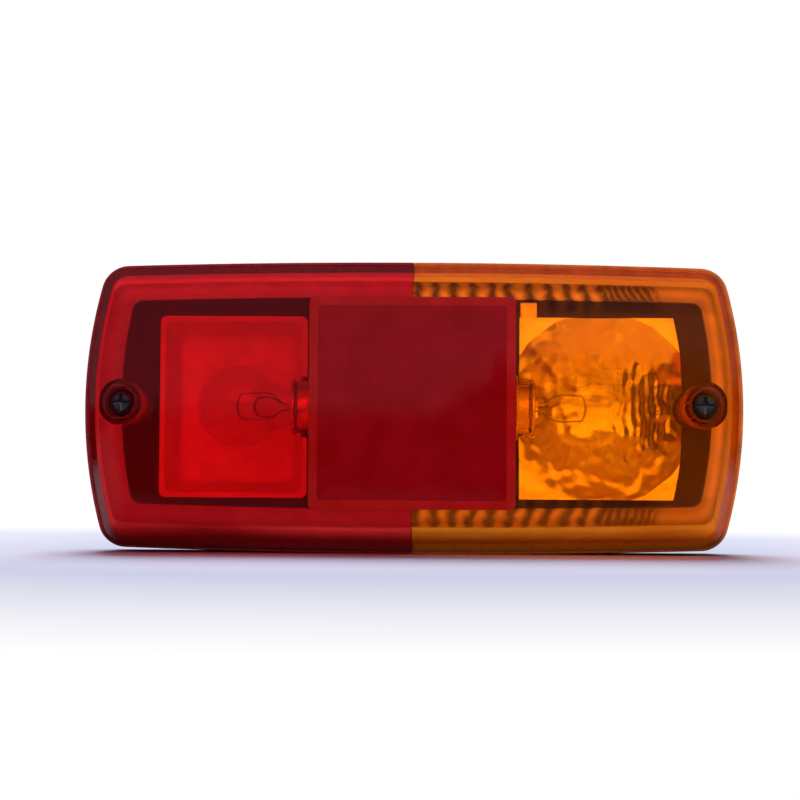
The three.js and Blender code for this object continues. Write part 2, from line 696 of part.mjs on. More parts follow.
// Right: a flat rim with a deep round bowl, four legs, and notches for the socket and the screw boss.
function reflectorTurn() {
  const steps = 6;
  const depth = (radius) => BOWL_BOTTOM + ((REFLECTOR_RIM - BOWL_BOTTOM) * radius ** 2) / BOWL_RADIUS ** 2;
  const inner = [];
  const outer = [];
  for (let i = 0; i <= steps; i += 1) {
    const radius = (BOWL_RADIUS * i) / steps;
    inner.push([radius, depth(radius)]);
    outer.push([radius, depth(radius) + REFLECTOR_WALL * 1.3]);
  }
  const front = REFLECTOR_RIM - 3;
  const bowlInside = turned([[0, front], [BOWL_RADIUS, front], ...inner.reverse()], BOWL_CENTRE, 0, 32);
  const rimTop = REFLECTOR_RIM + 0.2;
  const bowlOutside = turned([[0, rimTop], [BOWL_RADIUS, rimTop], ...outer.reverse()], BOWL_CENTRE, 0, 32);
  const span = block([33.8, -40, -REFLECTOR_HALF_HEIGHT], [100, 0, REFLECTOR_HALF_HEIGHT]);
  const bowed = rod(END_BOW_RADIUS - 19, -40, 0, HALF_LENGTH - END_BOW_RADIUS, 0, 64);
  const rim = block([33, REFLECTOR_RIM, -40], [100, REFLECTOR_RIM + REFLECTOR_WALL, 40]);
  const shape = joined(rim, bowlOutside).intersect(span).intersect(bowed);
  const standing = legs([[78, 25.5], [78, -25.5], [38, 25.5], [38, -25.5]], REFLECTOR_RIM + 0.6);
  const socketWay = rodAlongX(SOCKET_RADIUS + 1.25, 30, 44).translate([0, BULB_AXIS_Y, 0]);
  const bossWay = rod(BOSS_RADIUS + 0.8, -40, 0, SCREW_X, 0);
  return cut(joined(shape, ...standing), bowlInside, socketWay, bossWay);
}

// ---- Assembly ----

const lamp = new THREE.Group();

addPart(lamp, "mounting_pad", mountingPad(), "rubber");
addPart(lamp, "rear_housing", rearHousing(), "blackPlastic");
addPart(lamp, "cable_grommet", cableGrommet(), "rubber");
addPart(lamp, "lens_gasket", lensGasket(), "rubber");
for (const [side, sign] of SIDES) {
  addPart(lamp, `mounting_bolt_${side}`, mountingBolt(sign * BOLT_HALF_PITCH), "zincSteel");
  addPart(lamp, `plain_washer_${side}`, plainWasher(sign * BOLT_HALF_PITCH), "zincSteel");
  addPart(lamp, `lock_nut_${side}`, lockNut(sign * BOLT_HALF_PITCH), "zincSteel");
  addPart(lamp, `screw_insert_${side}`, screwInsert(sign * SCREW_X), "brass");
}

addPart(lamp, "bulb_carrier", bulbCarrier(), "greyPlastic");
addPart(lamp, "earth_strap", earthStrap(), "brass");
addPart(lamp, "reflector_tail", reflectorTail(), "mirror");
addPart(lamp, "reflector_turn", reflectorTurn(), "mirror");
addPart(lamp, "terminal_block", terminalBlock(), "greyPlastic");
const wireFinish = { turn: "greenWire", tail: "blueWire", stop: "redWire", earth: "whiteWire" };
for (const { name, place } of TERMINALS) {
  const x = place * TERMINAL_PITCH;
  addPart(lamp, `terminal_${name}`, terminal(x), "brass");
  addPart(lamp, `terminal_screw_${name}`, terminalScrew(x), "zincSteel");
  addPart(lamp, `${name}_wire`, tube(WIRE_ROUTES[name], WIRE_RADIUS, 14), wireFinish[name]);
}

const cover = new THREE.Group();
const shell = lensShell();
addPart(cover, "lens_red", lensHalf(shell, -1), "redLens");
addPart(cover, "lens_amber", lensHalf(shell, 1), "amberLens");
addPart(cover, "reflex_reflector", reflexReflector(), "reflexRed");
addPart(cover, "reflex_back_plate", reflexBackPlate(), "blackPlastic");
for (const [side, sign] of SIDES) {
  addPart(cover, `screw_seal_${side}`, screwSeal(sign * SCREW_X), "rubber");
  addPart(cover, `lens_screw_${side}`, lensScrew(sign * SCREW_X), "blackSteel");
}
lamp.add(cover);

// One bulb with its socket, spring and contact disc. The tail bulb has two filaments, two contacts and one bayonet
// pin nearer the glass than the other, so that it goes in only one way round.
function bulbUnit(name, filaments, pins, contacts) {
  const unit = new THREE.Group();
  addPart(unit, `socket_${name}`, socket(pins), "zincSteel");
  addPart(unit, `contact_spring_${name}`, contactSpring(), "springSteel");
  addPart(unit, `contact_disc_${name}`, contactDisc(contacts.map(({ z }) => z)), "phenolic");
  addPart(unit, `${name}_bulb_cap`, bulbCap(pins), "nickel");
  addPart(unit, `${name}_bulb_glass`, bulbGlass(), "clearGlass");
  addPart(unit, `${name}_bulb_stem`, bulbStem(), "clearGlass");
  addPart(unit, `${name}_bulb_insulator`, bulbInsulator(contacts.map(({ z }) => z)), "darkGlass");
  for (const { label, z } of contacts) {
    addPart(unit, `contact_pin_${label}`, contactPin(z), "brass");
    addPart(unit, `bulb_contact_${label}`, bulbContact(z), "solder");
  }
  for (const { label, height, halfWidth, aside } of filaments) {
    addPart(unit, `filament_${label}`, filament(height, halfWidth, aside), "tungsten");
  }
  unit.position.y = BULB_AXIS_Y;
  return unit;
}

const tailPins = [[BAYONET_PIN_PLACE, 1], [BAYONET_PIN_PLACE + BAYONET_PIN_OFFSET, -1]];
const tailContacts = [
  { label: "tail", z: CONTACT_PAIR_OFFSET },
  { label: "stop", z: -CONTACT_PAIR_OFFSET },
];
const tailFilaments = [
  { label: "tail", height: 50, halfWidth: 3, aside: -2.4 },
  { label: "stop", height: 55, halfWidth: 4, aside: 2.4 },
];
const tailUnit = bulbUnit("tail", tailFilaments, tailPins, tailContacts);
tailUnit.rotation.z = Math.PI;
lamp.add(tailUnit);

const turnPins = [[BAYONET_PIN_PLACE, 1], [BAYONET_PIN_PLACE, -1]];
const turnFilaments = [{ label: "turn", height: 54, halfWidth: 4, aside: 0 }];
lamp.add(bulbUnit("turn", turnFilaments, turnPins, [{ label: "turn", z: 0 }]));

export default lamp;
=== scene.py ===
import math
import random

import bmesh
import bpy
from mathutils import Matrix, Vector, noise


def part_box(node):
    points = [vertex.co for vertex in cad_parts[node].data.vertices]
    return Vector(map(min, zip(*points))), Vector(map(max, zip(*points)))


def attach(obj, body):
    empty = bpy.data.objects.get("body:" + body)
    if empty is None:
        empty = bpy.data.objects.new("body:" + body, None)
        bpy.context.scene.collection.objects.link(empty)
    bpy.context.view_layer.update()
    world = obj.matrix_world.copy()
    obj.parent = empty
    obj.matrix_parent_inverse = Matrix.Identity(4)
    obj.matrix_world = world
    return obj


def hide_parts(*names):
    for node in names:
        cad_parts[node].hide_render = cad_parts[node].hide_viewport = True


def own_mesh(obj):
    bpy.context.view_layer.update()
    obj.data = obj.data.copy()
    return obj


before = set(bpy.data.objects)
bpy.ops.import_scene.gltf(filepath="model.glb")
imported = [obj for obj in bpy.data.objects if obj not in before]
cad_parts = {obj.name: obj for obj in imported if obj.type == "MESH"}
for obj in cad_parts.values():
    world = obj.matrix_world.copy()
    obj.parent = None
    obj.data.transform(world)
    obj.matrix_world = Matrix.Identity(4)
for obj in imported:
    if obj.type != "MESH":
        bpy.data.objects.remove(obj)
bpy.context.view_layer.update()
scene = bpy.context.scene
rng = random.Random(7)

# Sizes are in millimetres. A mesh is made in millimetres and scaled to metres once, when it becomes a piece.
MM = 0.001


def box_mm(node):
    """Lowest and highest corner of a CAD node, in millimetres."""
    return tuple(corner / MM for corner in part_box(node))


def middle(node):
    """Middle of a CAD node's box, in millimetres."""
    low, high = box_mm(node)
    return (low + high) / 2


# ---- Driving dimensions, read from the frame ----

HALF_LENGTH = box_mm("lens_amber")[1].x
HALF_HEIGHT = box_mm("lens_amber")[1].z
LENS_FRONT = box_mm("lens_amber")[0].y
REFLEX_LOW, REFLEX_HIGH = box_mm("reflex_reflector")
SCREW_X = middle("lens_screw_right").x
SCREW_FRONT = box_mm("lens_screw_right")[0].y
SCREW_END = box_mm("lens_screw_right")[1].y
BOLT_X = middle("mounting_bolt_right").x
BOLT_END = box_mm("mounting_bolt_right")[1].y
BULB_AXIS_Y = middle("turn_bulb_glass").y
CABLE_Z = middle("cable_grommet").z
TERMINAL_Z = middle("terminal_earth").z

# ---- Sizes that the frame gives only as shapes ----

END_BOW_RADIUS = 147
EDGE_BOW_RADIUS = 2800
CORNER_RADIUS = 9
LEAST_CORNER_RADIUS = 3.5
FLOOR_FRONT = -6
RIM_FRONT = -23
LENS_BACK = -25
LENS_FLANGE_FRONT = -27
POCKET_FLOOR = -47
BOSS_END = -19.3
SEAM_GAP = 0.05
FLUTE_PITCH = 5.7
FLUTE_DEPTH = 1.2
FLUTE_START = 1.2
FINE_START = FLUTE_START + 10 * FLUTE_PITCH
FINE_PITCH = FLUTE_PITCH / 2.5
FLUTE_END = 74


# ---- Shapes: vertices, faces and a material number for each face ----

class Shape:
    """A closed surface, or several, in millimetres."""

    def __init__(self):
        self.points, self.faces, self.paints = [], [], []

    def add(self, points, faces, paint=0):
        start = len(self.points)
        self.points += [Vector(p) for p in points]
        self.faces += [[start + i for i in face] for face in faces]
        self.paints += [paint] * len(faces)
        return self

    def join(self, other):
        start = len(self.points)
        self.points += other.points
        self.faces += [[start + i for i in face] for face in other.faces]
        self.paints += other.paints
        return self

    def move(self, matrix):
        self.points = [matrix @ p for p in self.points]
        return self


def arc(cx, cy, radius, start, end, steps, skip_first=False):
    points = []
    for i in range(1 if skip_first else 0, steps + 1):
        angle = start + (end - start) * i / steps
        points.append((cx + radius * math.cos(angle), cy + radius * math.sin(angle)))
    return points


def outline(inset, end_steps=14, corner_steps=8, edge_steps=24):
    """The lamp's outline moved inwards, as (x, z) points: bowed ends and edges with round corners between."""
    corner = max(CORNER_RADIUS - inset, LEAST_CORNER_RADIUS)
    end_centre = HALF_LENGTH - END_BOW_RADIUS
    edge_centre = HALF_HEIGHT - EDGE_BOW_RADIUS
    from_end = END_BOW_RADIUS - inset - corner
    from_edge = EDGE_BOW_RADIUS - inset - corner
    apart = math.hypot(end_centre, edge_centre)
    along = (from_end ** 2 - from_edge ** 2 + apart ** 2) / (2 * apart)
    aside = math.sqrt(from_end ** 2 - along ** 2)
    unit_x, unit_z = -end_centre / apart, edge_centre / apart
    corner_x = end_centre + along * unit_x - aside * unit_z
    corner_z = along * unit_z + aside * unit_x
    end_angle = math.atan2(corner_z, corner_x - end_centre)
    edge_angle = math.atan2(corner_z - edge_centre, corner_x)
    quadrant = arc(end_centre, 0, END_BOW_RADIUS - inset, 0, end_angle, end_steps)
    quadrant += arc(corner_x, corner_z, corner, end_angle, edge_angle, corner_steps, True)
    quadrant += arc(0, edge_centre, EDGE_BOW_RADIUS - inset, edge_angle, math.pi / 2, edge_steps, True)
    ring = quadrant + [(-x, z) for x, z in quadrant[-2::-1]]
    return ring + [(x, -z) for x, z in ring[-2:0:-1]]


def rounded(corners, radius, steps=4):
    """A polyline whose inner corners become arcs. radius is a number, or a list of one for each of them."""
    points = [Vector(corners[0])]
    for i in range(1, len(corners) - 1):
        at = Vector(corners[i])
        back, ahead = Vector(corners[i - 1]) - at, Vector(corners[i + 1]) - at
        wanted = radius[i - 1] if isinstance(radius, (list, tuple)) else radius
        half = back.angle(ahead, math.pi) / 2
        if wanted <= 0 or half > 1.55:
            points.append(at)
            continue
        reach = min(wanted / math.tan(half), 0.45 * back.length, 0.45 * ahead.length)
        centre = at + (back.normalized() + ahead.normalized()).normalized() * reach / math.cos(half)
        start = at + back.normalized() * reach - centre
        end = at + ahead.normalized() * reach - centre
        turn = math.pi - 2 * half
        for k in range(steps + 1):
            share = k / steps
            bent = start * math.sin((1 - share) * turn) + end * math.sin(share * turn)
            points.append(centre + bent / math.sin(turn))
    points.append(Vector(corners[-1]))
    return [tuple(p) for p in points]


def skin(rings, paint=0, closed=True):
    """Quads between rings of equal length; closed puts a face on the first and the last ring."""
    count = len(rings[0])
    faces = []
    for level in range(len(rings) - 1):
        for i in range(count):
            a, b = level * count + i, level * count + (i + 1) % count
            faces.append((a, b, b + count, a + count))
    if closed:
        faces.append(list(range(count))[::-1])
        faces.append([(len(rings) - 1) * count + i for i in range(count)])
    return Shape().add([p for ring in rings for p in ring], faces, paint)


def outline_loft(levels, paint=0, steps=(14, 8, 24)):
    """A solid through the lamp's outline at [inset, y] levels."""
    return skin([[(x, y, z) for x, z in outline(inset, *steps)] for inset, y in levels], paint)


def lathe(profile, sides=48, paint=0, x=0.0, z=0.0):
    """A turned solid about an axis along Y. profile is (radius, y) points, and closes on itself unless both
    its ends lie on the axis."""
    rings = []
    for radius, y in profile:
        rings.append([(x + max(radius, 0) * math.cos(2 * math.pi * i / sides), y,
                       z + max(radius, 0) * math.sin(2 * math.pi * i / sides)) for i in range(sides)])
    solid = profile[0][0] == 0 and profile[-1][0] == 0
    points, faces = [], []
    starts = []
    for (radius, y), ring in zip(profile, rings):
        starts.append(len(points))
        points += [(x, y, z)] if radius == 0 else ring
    pairs = list(zip(range(len(profile)), range(1, len(profile))))
    if not solid:
        pairs.append((len(profile) - 1, 0))
    for a, b in pairs:
        for i in range(sides):
            j = (i + 1) % sides
            first = [starts[a]] if profile[a][0] == 0 else [starts[a] + i, starts[a] + j]
            second = [starts[b]] if profile[b][0] == 0 else [starts[b] + j, starts[b] + i]
            face = first + second
            if len(face) > 2:
                faces.append(face)
    return Shape().add(points, faces, paint)


ALONG_X = Matrix(((0, 1, 0, 0), (-1, 0, 0, 0), (0, 0, 1, 0), (0, 0, 0, 1)))


def lathe_x(profile, sides=48):
    """A turned solid about the X axis. profile is (radius, x) points."""
    return lathe(profile, sides).move(ALONG_X)


def rod(radius, y0, y1, x=0.0, z=0.0, sides=48, paint=0):
    """A plain cylinder along Y."""
    return lathe([(0, y0), (radius, y0), (radius, y1), (0, y1)], sides, paint, x, z)


def rod_x(radius, x0, x1, sides=48, y=0.0, z=0.0):
    """A plain cylinder along X."""
    return rod(radius, x0, x1, sides=sides).move(ALONG_X).move(Matrix.Translation((0, y, z)))


def block(low, high, soften=0.0, steps=2, paint=0):
    """A box with softened edges."""
    bm = bmesh.new()
    bmesh.ops.create_cube(bm, size=1)
    size = Vector(high) - Vector(low)
    bmesh.ops.scale(bm, vec=size, verts=bm.verts)
    bmesh.ops.translate(bm, vec=(Vector(high) + Vector(low)) / 2, verts=bm.verts)
    if soften:
        bmesh.ops.bevel(bm, geom=bm.edges[:], offset=soften, segments=steps, profile=0.5, affect="EDGES")
    shape = from_bmesh(bm, paint)
    bm.free()
    return shape


def from_bmesh(bm, paint=0):
    bm.verts.index_update()
    return Shape().add([v.co.copy() for v in bm.verts], [[v.index for v in f.verts] for f in bm.faces], paint)


def plate(ring, y0, y1, soften=0.3, steps=3):
    """A flat plate of the given (x, z) outline from y0 (back) to y1 (front), with rounded edges."""
    bm = bmesh.new()
    back = [bm.verts.new((x, y0, z)) for x, z in ring]
    front = [bm.verts.new((x, y1, z)) for x, z in ring]
    bm.faces.new(back)
    bm.faces.new(front[::-1])
    rims = []
    for i in range(len(ring)):
        j = (i + 1) % len(ring)
        bm.faces.new((back[j], back[i], front[i], front[j]))
        rims += [bm.edges.get((back[i], back[j])), bm.edges.get((front[i], front[j]))]
    if soften:
        bmesh.ops.bevel(bm, geom=rims, offset=soften, segments=steps, profile=0.5, affect="EDGES")
    shape = from_bmesh(bm)
    bm.free()
    return shape


def rounded_rectangle(x0, x1, half_height, corner, steps=6):
    quarter = math.pi / 2
    points = []
    places = [(x1 - corner, 1, 0), (x0 + corner, 1, 1), (x0 + corner, -1, 2), (x1 - corner, -1, 3)]
    for x, side, turn in places:
        points += arc(x, side * (half_height - corner), corner, turn * quarter, (turn + 1) * quarter, steps)
    return points


def hexagon(across_flats, turn=0.0, x=0.0):
    radius = across_flats / math.sqrt(3)
    angles = [turn + i * math.pi / 3 for i in range(6)]
    return [(x + radius * math.cos(angle), radius * math.sin(angle)) for angle in angles]


def smooth_path(points, samples):
    """A Catmull-Rom curve through the points, as evenly spaced samples."""
    stops = [Vector(p) for p in points]
    padded = [2 * stops[0] - stops[1]] + stops + [2 * stops[-1] - stops[-2]]
    dense = []
    for i in range(1, len(padded) - 2):
        a, b, c, d = padded[i - 1:i + 3]
        for k in range(20):
            t = k / 20
            dense.append(0.5 * ((2 * b) + (c - a) * t + (2 * a - 5 * b + 4 * c - d) * t * t
                                + (3 * b - a - 3 * c + d) * t ** 3))
    dense.append(stops[-1])
    lengths = [0.0]
    for a, b in zip(dense, dense[1:]):
        lengths.append(lengths[-1] + (b - a).length)
    path, at = [], 0
    for k in range(samples + 1):
        wanted = lengths[-1] * k / samples
        while at < len(dense) - 2 and lengths[at + 1] < wanted:
            at += 1
        share = (wanted - lengths[at]) / max(lengths[at + 1] - lengths[at], 1e-9)
        path.append(dense[at].lerp(dense[at + 1], min(share, 1)))
    return path


def tube(path, radius, sides=12, paint=0):
    """A round wire along a path, with slightly rounded ends."""
    tangents = [(path[min(i + 1, len(path) - 1)] - path[max(i - 1, 0)]).normalized()
                for i in range(len(path))]
    side = tangents[0].orthogonal().normalized()
    angles = [2 * math.pi * k / sides for k in range(sides)]
    rings = []
    for i, (at, tangent) in enumerate(zip(path, tangents)):
        side = (side - tangent * side.dot(tangent)).normalized()
        up = tangent.cross(side)
        spokes = [side * math.cos(angle) + up * math.sin(angle) for angle in angles]
        inset = tangent * radius * 0.25
        stations = [(at, radius)]
        if i == 0:
            stations = [(at, radius * 0.75), (at + inset, radius)]
        elif i == len(path) - 1:
            stations = [(at - inset, radius), (at, radius * 0.75)]
        rings += [[centre + spoke * reach for spoke in spokes] for centre, reach in stations]
    return skin(rings, paint)


def thread(x, z, y0, y1, outer, inner, pitch, sides=36):
    """A threaded rod along Y: its radius follows a helical ridge, which fades out at both ends."""
    rows = max(int(abs(y1 - y0) / pitch * 8), 8)
    rings = []
    for row in range(rows + 1):
        y = y0 + (y1 - y0) * row / rows
        fade = min(1, row / 6, (rows - row) / 6)
        ring = []
        for i in range(sides):
            phase = ((y - y0) / pitch + i / sides) % 1
            ridge = min(1, max(0, 1.25 - abs(phase - 0.5) * 4)) if phase else 0
            radius = inner + (outer - inner) * ridge * fade
            angle = 2 * math.pi * i / sides
            ring.append((x + radius * math.cos(angle), y, z + radius * math.sin(angle)))
        rings.append(ring)
    return skin(rings)


# ---- From shape to object ----

def make_object(shape, name):
    mesh = bpy.data.meshes.new(name)
    mesh.from_pydata([tuple(p) for p in shape.points], [], shape.faces)
    mesh.polygons.foreach_set("material_index", shape.paints)
    bm = bmesh.new()
    bm.from_mesh(mesh)
    bmesh.ops.remove_doubles(bm, verts=bm.verts, dist=1e-5)
    bmesh.ops.recalc_face_normals(bm, faces=bm.faces)
    bm.to_mesh(mesh)
    bm.free()
    made = bpy.data.objects.new(name, mesh)
    scene.collection.objects.link(made)
    return made


def to_shape(made):
    """Takes an object's mesh back as a shape, and removes the object."""
    mesh = made.data
    shape = Shape().add([v.co.copy() for v in mesh.vertices], [list(p.vertices) for p in mesh.polygons])
    shape.paints = [p.material_index for p in mesh.polygons]
    bpy.data.objects.remove(made)
    bpy.data.meshes.remove(mesh)
    return shape


def combine(shape, tools, operation):
    """The shape with each tool cut from it, joined to it or intersected with it."""
    paints = max([*shape.paints, *(p for tool in tools for p in tool.paints)]) + 1
    target = make_object(shape, "target")
    for _ in range(paints):
        target.data.materials.append(None)
    for tool in tools:
        helper = make_object(tool, "tool")
        for _ in range(paints):
            helper.data.materials.append(None)
        step = target.modifiers.new("step", "BOOLEAN")
        step.solver = "MANIFOLD"
        step.operation = operation
        step.object = helper
        graph = bpy.context.evaluated_depsgraph_get()
        result = bpy.data.meshes.new_from_object(target.evaluated_get(graph))
        target.modifiers.remove(step)
        old, target.data = target.data, result
        bpy.data.meshes.remove(old)
        spare = helper.data
        bpy.data.objects.remove(helper)
        bpy.data.meshes.remove(spare)
    return to_shape(target)


def cut(shape, *tools):
    return combine(shape, tools, "DIFFERENCE")


def fuse(shape, *tools):
    return combine(shape, tools, "UNION")


def common(shape, *tools):
    return combine(shape, tools, "INTERSECT")


def piece(name, shape, body, materials, nodes=(), sharp=32):
    """Makes the shape a piece that rides on a body, stands for CAD nodes and takes the given materials."""
    made = make_object(shape, name)
    made.data.transform(Matrix.Scale(MM, 4))
    for material in materials if isinstance(materials, (list, tuple)) else [materials]:
        made.data.materials.append(material)
    made.data.shade_smooth()
    made.data.set_sharp_from_angle(angle=math.radians(sharp))
    if nodes:
        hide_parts(*nodes)
    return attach(made, body)


# ---- Materials ----

class Nodes:
    """The node tree of a new material or world, with short calls that add a node and feed its inputs."""

    def __init__(self, name, world=False):
        self.owner = (bpy.data.worlds if world else bpy.data.materials).new(name)
        self.owner.use_nodes = True
        self.tree = self.owner.node_tree
        self.tree.nodes.clear()
        self.output = self.add("OutputWorld" if world else "OutputMaterial")
        self.place = self.add("TexCoord").outputs["Generated" if world else "Object"]

    def add(self, kind, **inputs):
        node = self.tree.nodes.new("ShaderNode" + kind)
        self.feed(node, **inputs)
        return node

    def feed(self, node, **inputs):
        """Sets or links inputs. A key is an input's name with _ for spaces, or i and its number."""
        for key, value in inputs.items():
            by_number = key[0] == "i" and key[1:].isdigit()
            socket = node.inputs[int(key[1:]) if by_number else key.replace("_", " ")]
            if isinstance(value, bpy.types.NodeSocket):
                self.tree.links.new(value, socket)
            elif isinstance(value, (list, tuple)) and socket.type == "RGBA":
                socket.default_value = (*value[:3], 1)
            else:
                socket.default_value = value

    def noise(self, size, detail=3, rough=0.5, place=None):
        """Noise from 0 to 1 whose features are about the given size in millimetres."""
        node = self.add("TexNoise", Vector=place or self.place, Scale=1 / (size * MM), Detail=detail,
                        Roughness=rough)
        return node.outputs["Fac"]

    def spread(self, value, low, high, start=0.3, end=0.7):
        """The value moved from the range start to end into the range low to high."""
        node = self.add("MapRange", Value=value, From_Min=start, From_Max=end, To_Min=low, To_Max=high)
        return node.outputs["Result"]

    def math(self, operation, a, b=0.0):
        node = self.add("Math", i0=a, i1=b)
        node.operation = operation
        return node.outputs[0]

    def mix(self, share, first, second):
        node = self.add("Mix")
        node.data_type = "RGBA"
        self.feed(node, i0=share, i6=first, i7=second)
        return node.outputs[2]

    def axis(self, name):
        return self.add("SeparateXYZ", Vector=self.place).outputs[name]

    def stretched(self, x, y, z):
        """Object coordinates scaled along each axis, for brushed or grained finishes."""
        return self.add("Mapping", Vector=self.place, Scale=(x, y, z)).outputs["Vector"]

    def bump(self, height, depth, normal=None):
        """A bump whose full height is the given depth in millimetres."""
        node = self.add("Bump", Height=height, Distance=depth * MM)
        if normal:
            self.feed(node, Normal=normal)
        return node.outputs["Normal"]

    def shader(self, kind, **inputs):
        return self.add(kind, **inputs).outputs[0]

    def shaders(self, share, first, second):
        return self.shader("MixShader", i0=share, i1=first, i2=second)

    def show(self, shader):
        """Ends the tree with the shader, and gives back its material or world."""
        self.feed(self.output, Surface=shader)
        return self.owner


def moulded(name, colour, roughness, grain=0.5, depth=0.02, contrast=0.25, sheen=0.0):
    """Moulded plastic or rubber: a fine grain, slow colour variation and patches of wear."""
    n = Nodes(name)
    tone = n.noise(9, 4)
    dark, light = [c * (1 - contrast) for c in colour], [min(1, c * (1 + contrast)) for c in colour]
    base = n.mix(n.spread(tone, 0, 1), dark, light)
    dust = n.noise(2.5, 6, 0.65)
    rough = n.spread(dust, roughness - 0.08, roughness + 0.1)
    normal = n.bump(n.noise(grain, 3), depth)
    normal = n.bump(n.noise(12, 2), depth * 3, normal=normal)
    return n.show(n.shader("BsdfPrincipled", Base_Color=base, Roughness=rough, Normal=normal,
                           Sheen_Weight=sheen))


def metal(name, colour, roughness, stain, brushed=None, depth=0.01):
    """Plated or bare metal: tarnish patches and fine scratches, which brushed draws out along one axis."""
    n = Nodes(name)
    patch = n.noise(4, 6, 0.6)
    base = n.mix(n.spread(patch, 0, 1, 0.35, 0.75), colour, stain)
    place = n.stretched(*brushed) if brushed else n.place
    scratch = n.noise(0.35, 4, 0.7, place)
    rough = n.spread(n.math("ADD", scratch, patch), roughness - 0.08, roughness + 0.12, 0.7, 1.3)
    normal = n.bump(scratch, depth)
    return n.show(n.shader("BsdfPrincipled", Base_Color=base, Metallic=1.0, Roughness=rough, Normal=normal))


def front_gloss(n, ior, normal):
    """Mirror share of a clear surface seen from outside; 0 from inside, where the clear shell has no skin."""
    share = n.add("Fresnel", IOR=ior, Normal=normal).outputs[0]
    outside = n.math("SUBTRACT", 1.0, n.add("NewGeometry").outputs["Backfacing"])
    return n.math("MULTIPLY", share, outside)


def clear_skin(name, tint, wave=0.012, ior=1.4):
    """Smooth clear plastic or glass that tints what is behind it."""
    n = Nodes(name)
    patch = n.noise(14, 3)
    body = n.mix(n.spread(patch, 0, 1), [c ** 1.06 for c in tint], [c ** 0.96 for c in tint])
    normal = n.bump(n.noise(7, 2), wave)
    normal = n.bump(n.noise(0.8, 3), wave * 0.08, normal=normal)
    through = n.shader("BsdfTransparent", Color=body)
    smear = n.spread(n.noise(5, 5, 0.6), 0.02, 0.07)
    shine = n.shader("BsdfGlossy", Roughness=smear, Normal=normal)
    return n.show(n.shaders(front_gloss(n, ior, normal), through, shine))


# Ranges over which painted shade darkens the bottom wall (z), the long bevels begin (z) and the bevel ends
# (y).
PAINTED_WALL_SHADE = (-42 * MM, -38 * MM)
LONG_SIDE = (27 * MM, 29 * MM)
BEVEL_END = (-50.6, -49.9)
# The depth (y, in mm) about which the painted flute highlights lean sideways, their slope, and how far noise
# shifts them.
FLUTE_MIDDLE = -53
FLUTE_LEAN = 0.22
FLUTE_BLUR = 0.9


def painted_flute_highlight(n, depth):
    """From 0 in the valleys of the amber flutes to 1 on their ridges, and steady where the flutes end:
    painted highlights on the ridges and painted shade in the valleys.
    """

    def ridges(pitch):
        return n.math("ABSOLUTE", n.math("SINE", n.math("MULTIPLY", at, math.pi / pitch)))

    along = n.math("DIVIDE", n.axis("X"), MM)
    uneven = n.spread(n.noise(9, 2), -FLUTE_BLUR, FLUTE_BLUR)
    lean = n.math("MULTIPLY", n.math("ADD", depth, -FLUTE_MIDDLE), FLUTE_LEAN)
    at = n.math("ADD", n.math("ADD", along, -FLUTE_START), n.math("ADD", uneven, lean))
    coarse, fine = ridges(FLUTE_PITCH), ridges(FINE_PITCH)
    wave = n.mix(n.spread(along, 0, 1, FINE_START - 1, FINE_START + 1), coarse, n.math("MULTIPLY", fine, 0.6))
    return n.mix(n.spread(along, 0, 1, FLUTE_END - 2, FLUTE_END + 2), n.math("POWER", wave, 1.6),
                 (0.8, 0.8, 0.8))


def lens_optics(name, tint, stops, base, ripple, fluted=False):
    """The lens's inner face: part clear, part scattering, by a share that follows the depth. The bottom wall
    scatters less, which paints shade on it. stops are (depth, share) pairs from front to back."""
    n = Nodes(name)
    depth = n.math("DIVIDE", n.axis("Y"), MM)
    ramp = n.add("ValToRGB", Fac=n.spread(depth, 0, 1, stops[0][0], stops[-1][0]))
    ramp.color_ramp.interpolation = "EASE"
    for i, (y, share) in enumerate(stops):
        at = (y - stops[0][0]) / (stops[-1][0] - stops[0][0])
        elements = ramp.color_ramp.elements
        stop = elements[0] if i == 0 else elements[-1] if i == len(stops) - 1 else elements.new(at)
        stop.position = at
        stop.color = (share, share, share, 1)
    # Painted shade: less scatter towards the bottom wall, so it looks darker.
    low = n.spread(n.axis("Z"), 0.45, 1, *PAINTED_WALL_SHADE)
    share = n.math("MULTIPLY", n.math("MULTIPLY", ramp.outputs[0], low), n.spread(n.noise(6, 4), 0.86, 1.0))
    tone = n.mix(n.spread(n.noise(3.5, 4), 0, 1), [c * 0.88 for c in base], base)
    # Painted highlights and shade on the amber flutes: the ridges keep their colour and scatter, the valleys
    # turn darker and clearer.
    if fluted:
        on_bevel = n.spread(depth, 1, 0, *BEVEL_END)
        long_side = n.spread(n.math("ABSOLUTE", n.axis("Z")), 0, 1, *LONG_SIDE)
        place = n.math("MULTIPLY", on_bevel, long_side)
        glow = n.mix(place, (1, 1, 1), painted_flute_highlight(n, depth))
        tone = n.mix(glow, [c * f for c, f in zip(base, (0.42, 0.3, 0.25))], tone)
        share = n.math("MULTIPLY", share, n.spread(glow, 0.45, 1, 0, 1))
    normal = n.bump(n.noise(1.6, 4), ripple)
    scatter = n.shader("BsdfPrincipled", Base_Color=tone, Roughness=0.32, Normal=normal)
    through = n.shader("BsdfTransparent", Color=tint)
    return n.show(n.shaders(share, through, scatter))


def solid_plastic(name, colour):
    """The thick edge of the lens, too deep in colour to see through, with painted shade that darkens it on
    the bottom wall.
    """
    n = Nodes(name)
    tone = n.mix(n.spread(n.noise(5, 4), 0, 1), [c * 0.8 for c in colour], [min(1, c * 1.15) for c in colour])
    normal = n.bump(n.noise(2.5, 4), 0.03)
    # Painted shade: the colour falls to a quarter of itself towards the bottom wall.
    low = n.spread(n.axis("Z"), 0, 1, *PAINTED_WALL_SHADE)
    tone = n.mix(low, [c * 0.25 for c in colour], tone)
    rough = n.spread(n.noise(3, 5), 0.22, 0.4)
    return n.show(n.shader("BsdfPrincipled", Base_Color=tone, Roughness=rough, Normal=normal))


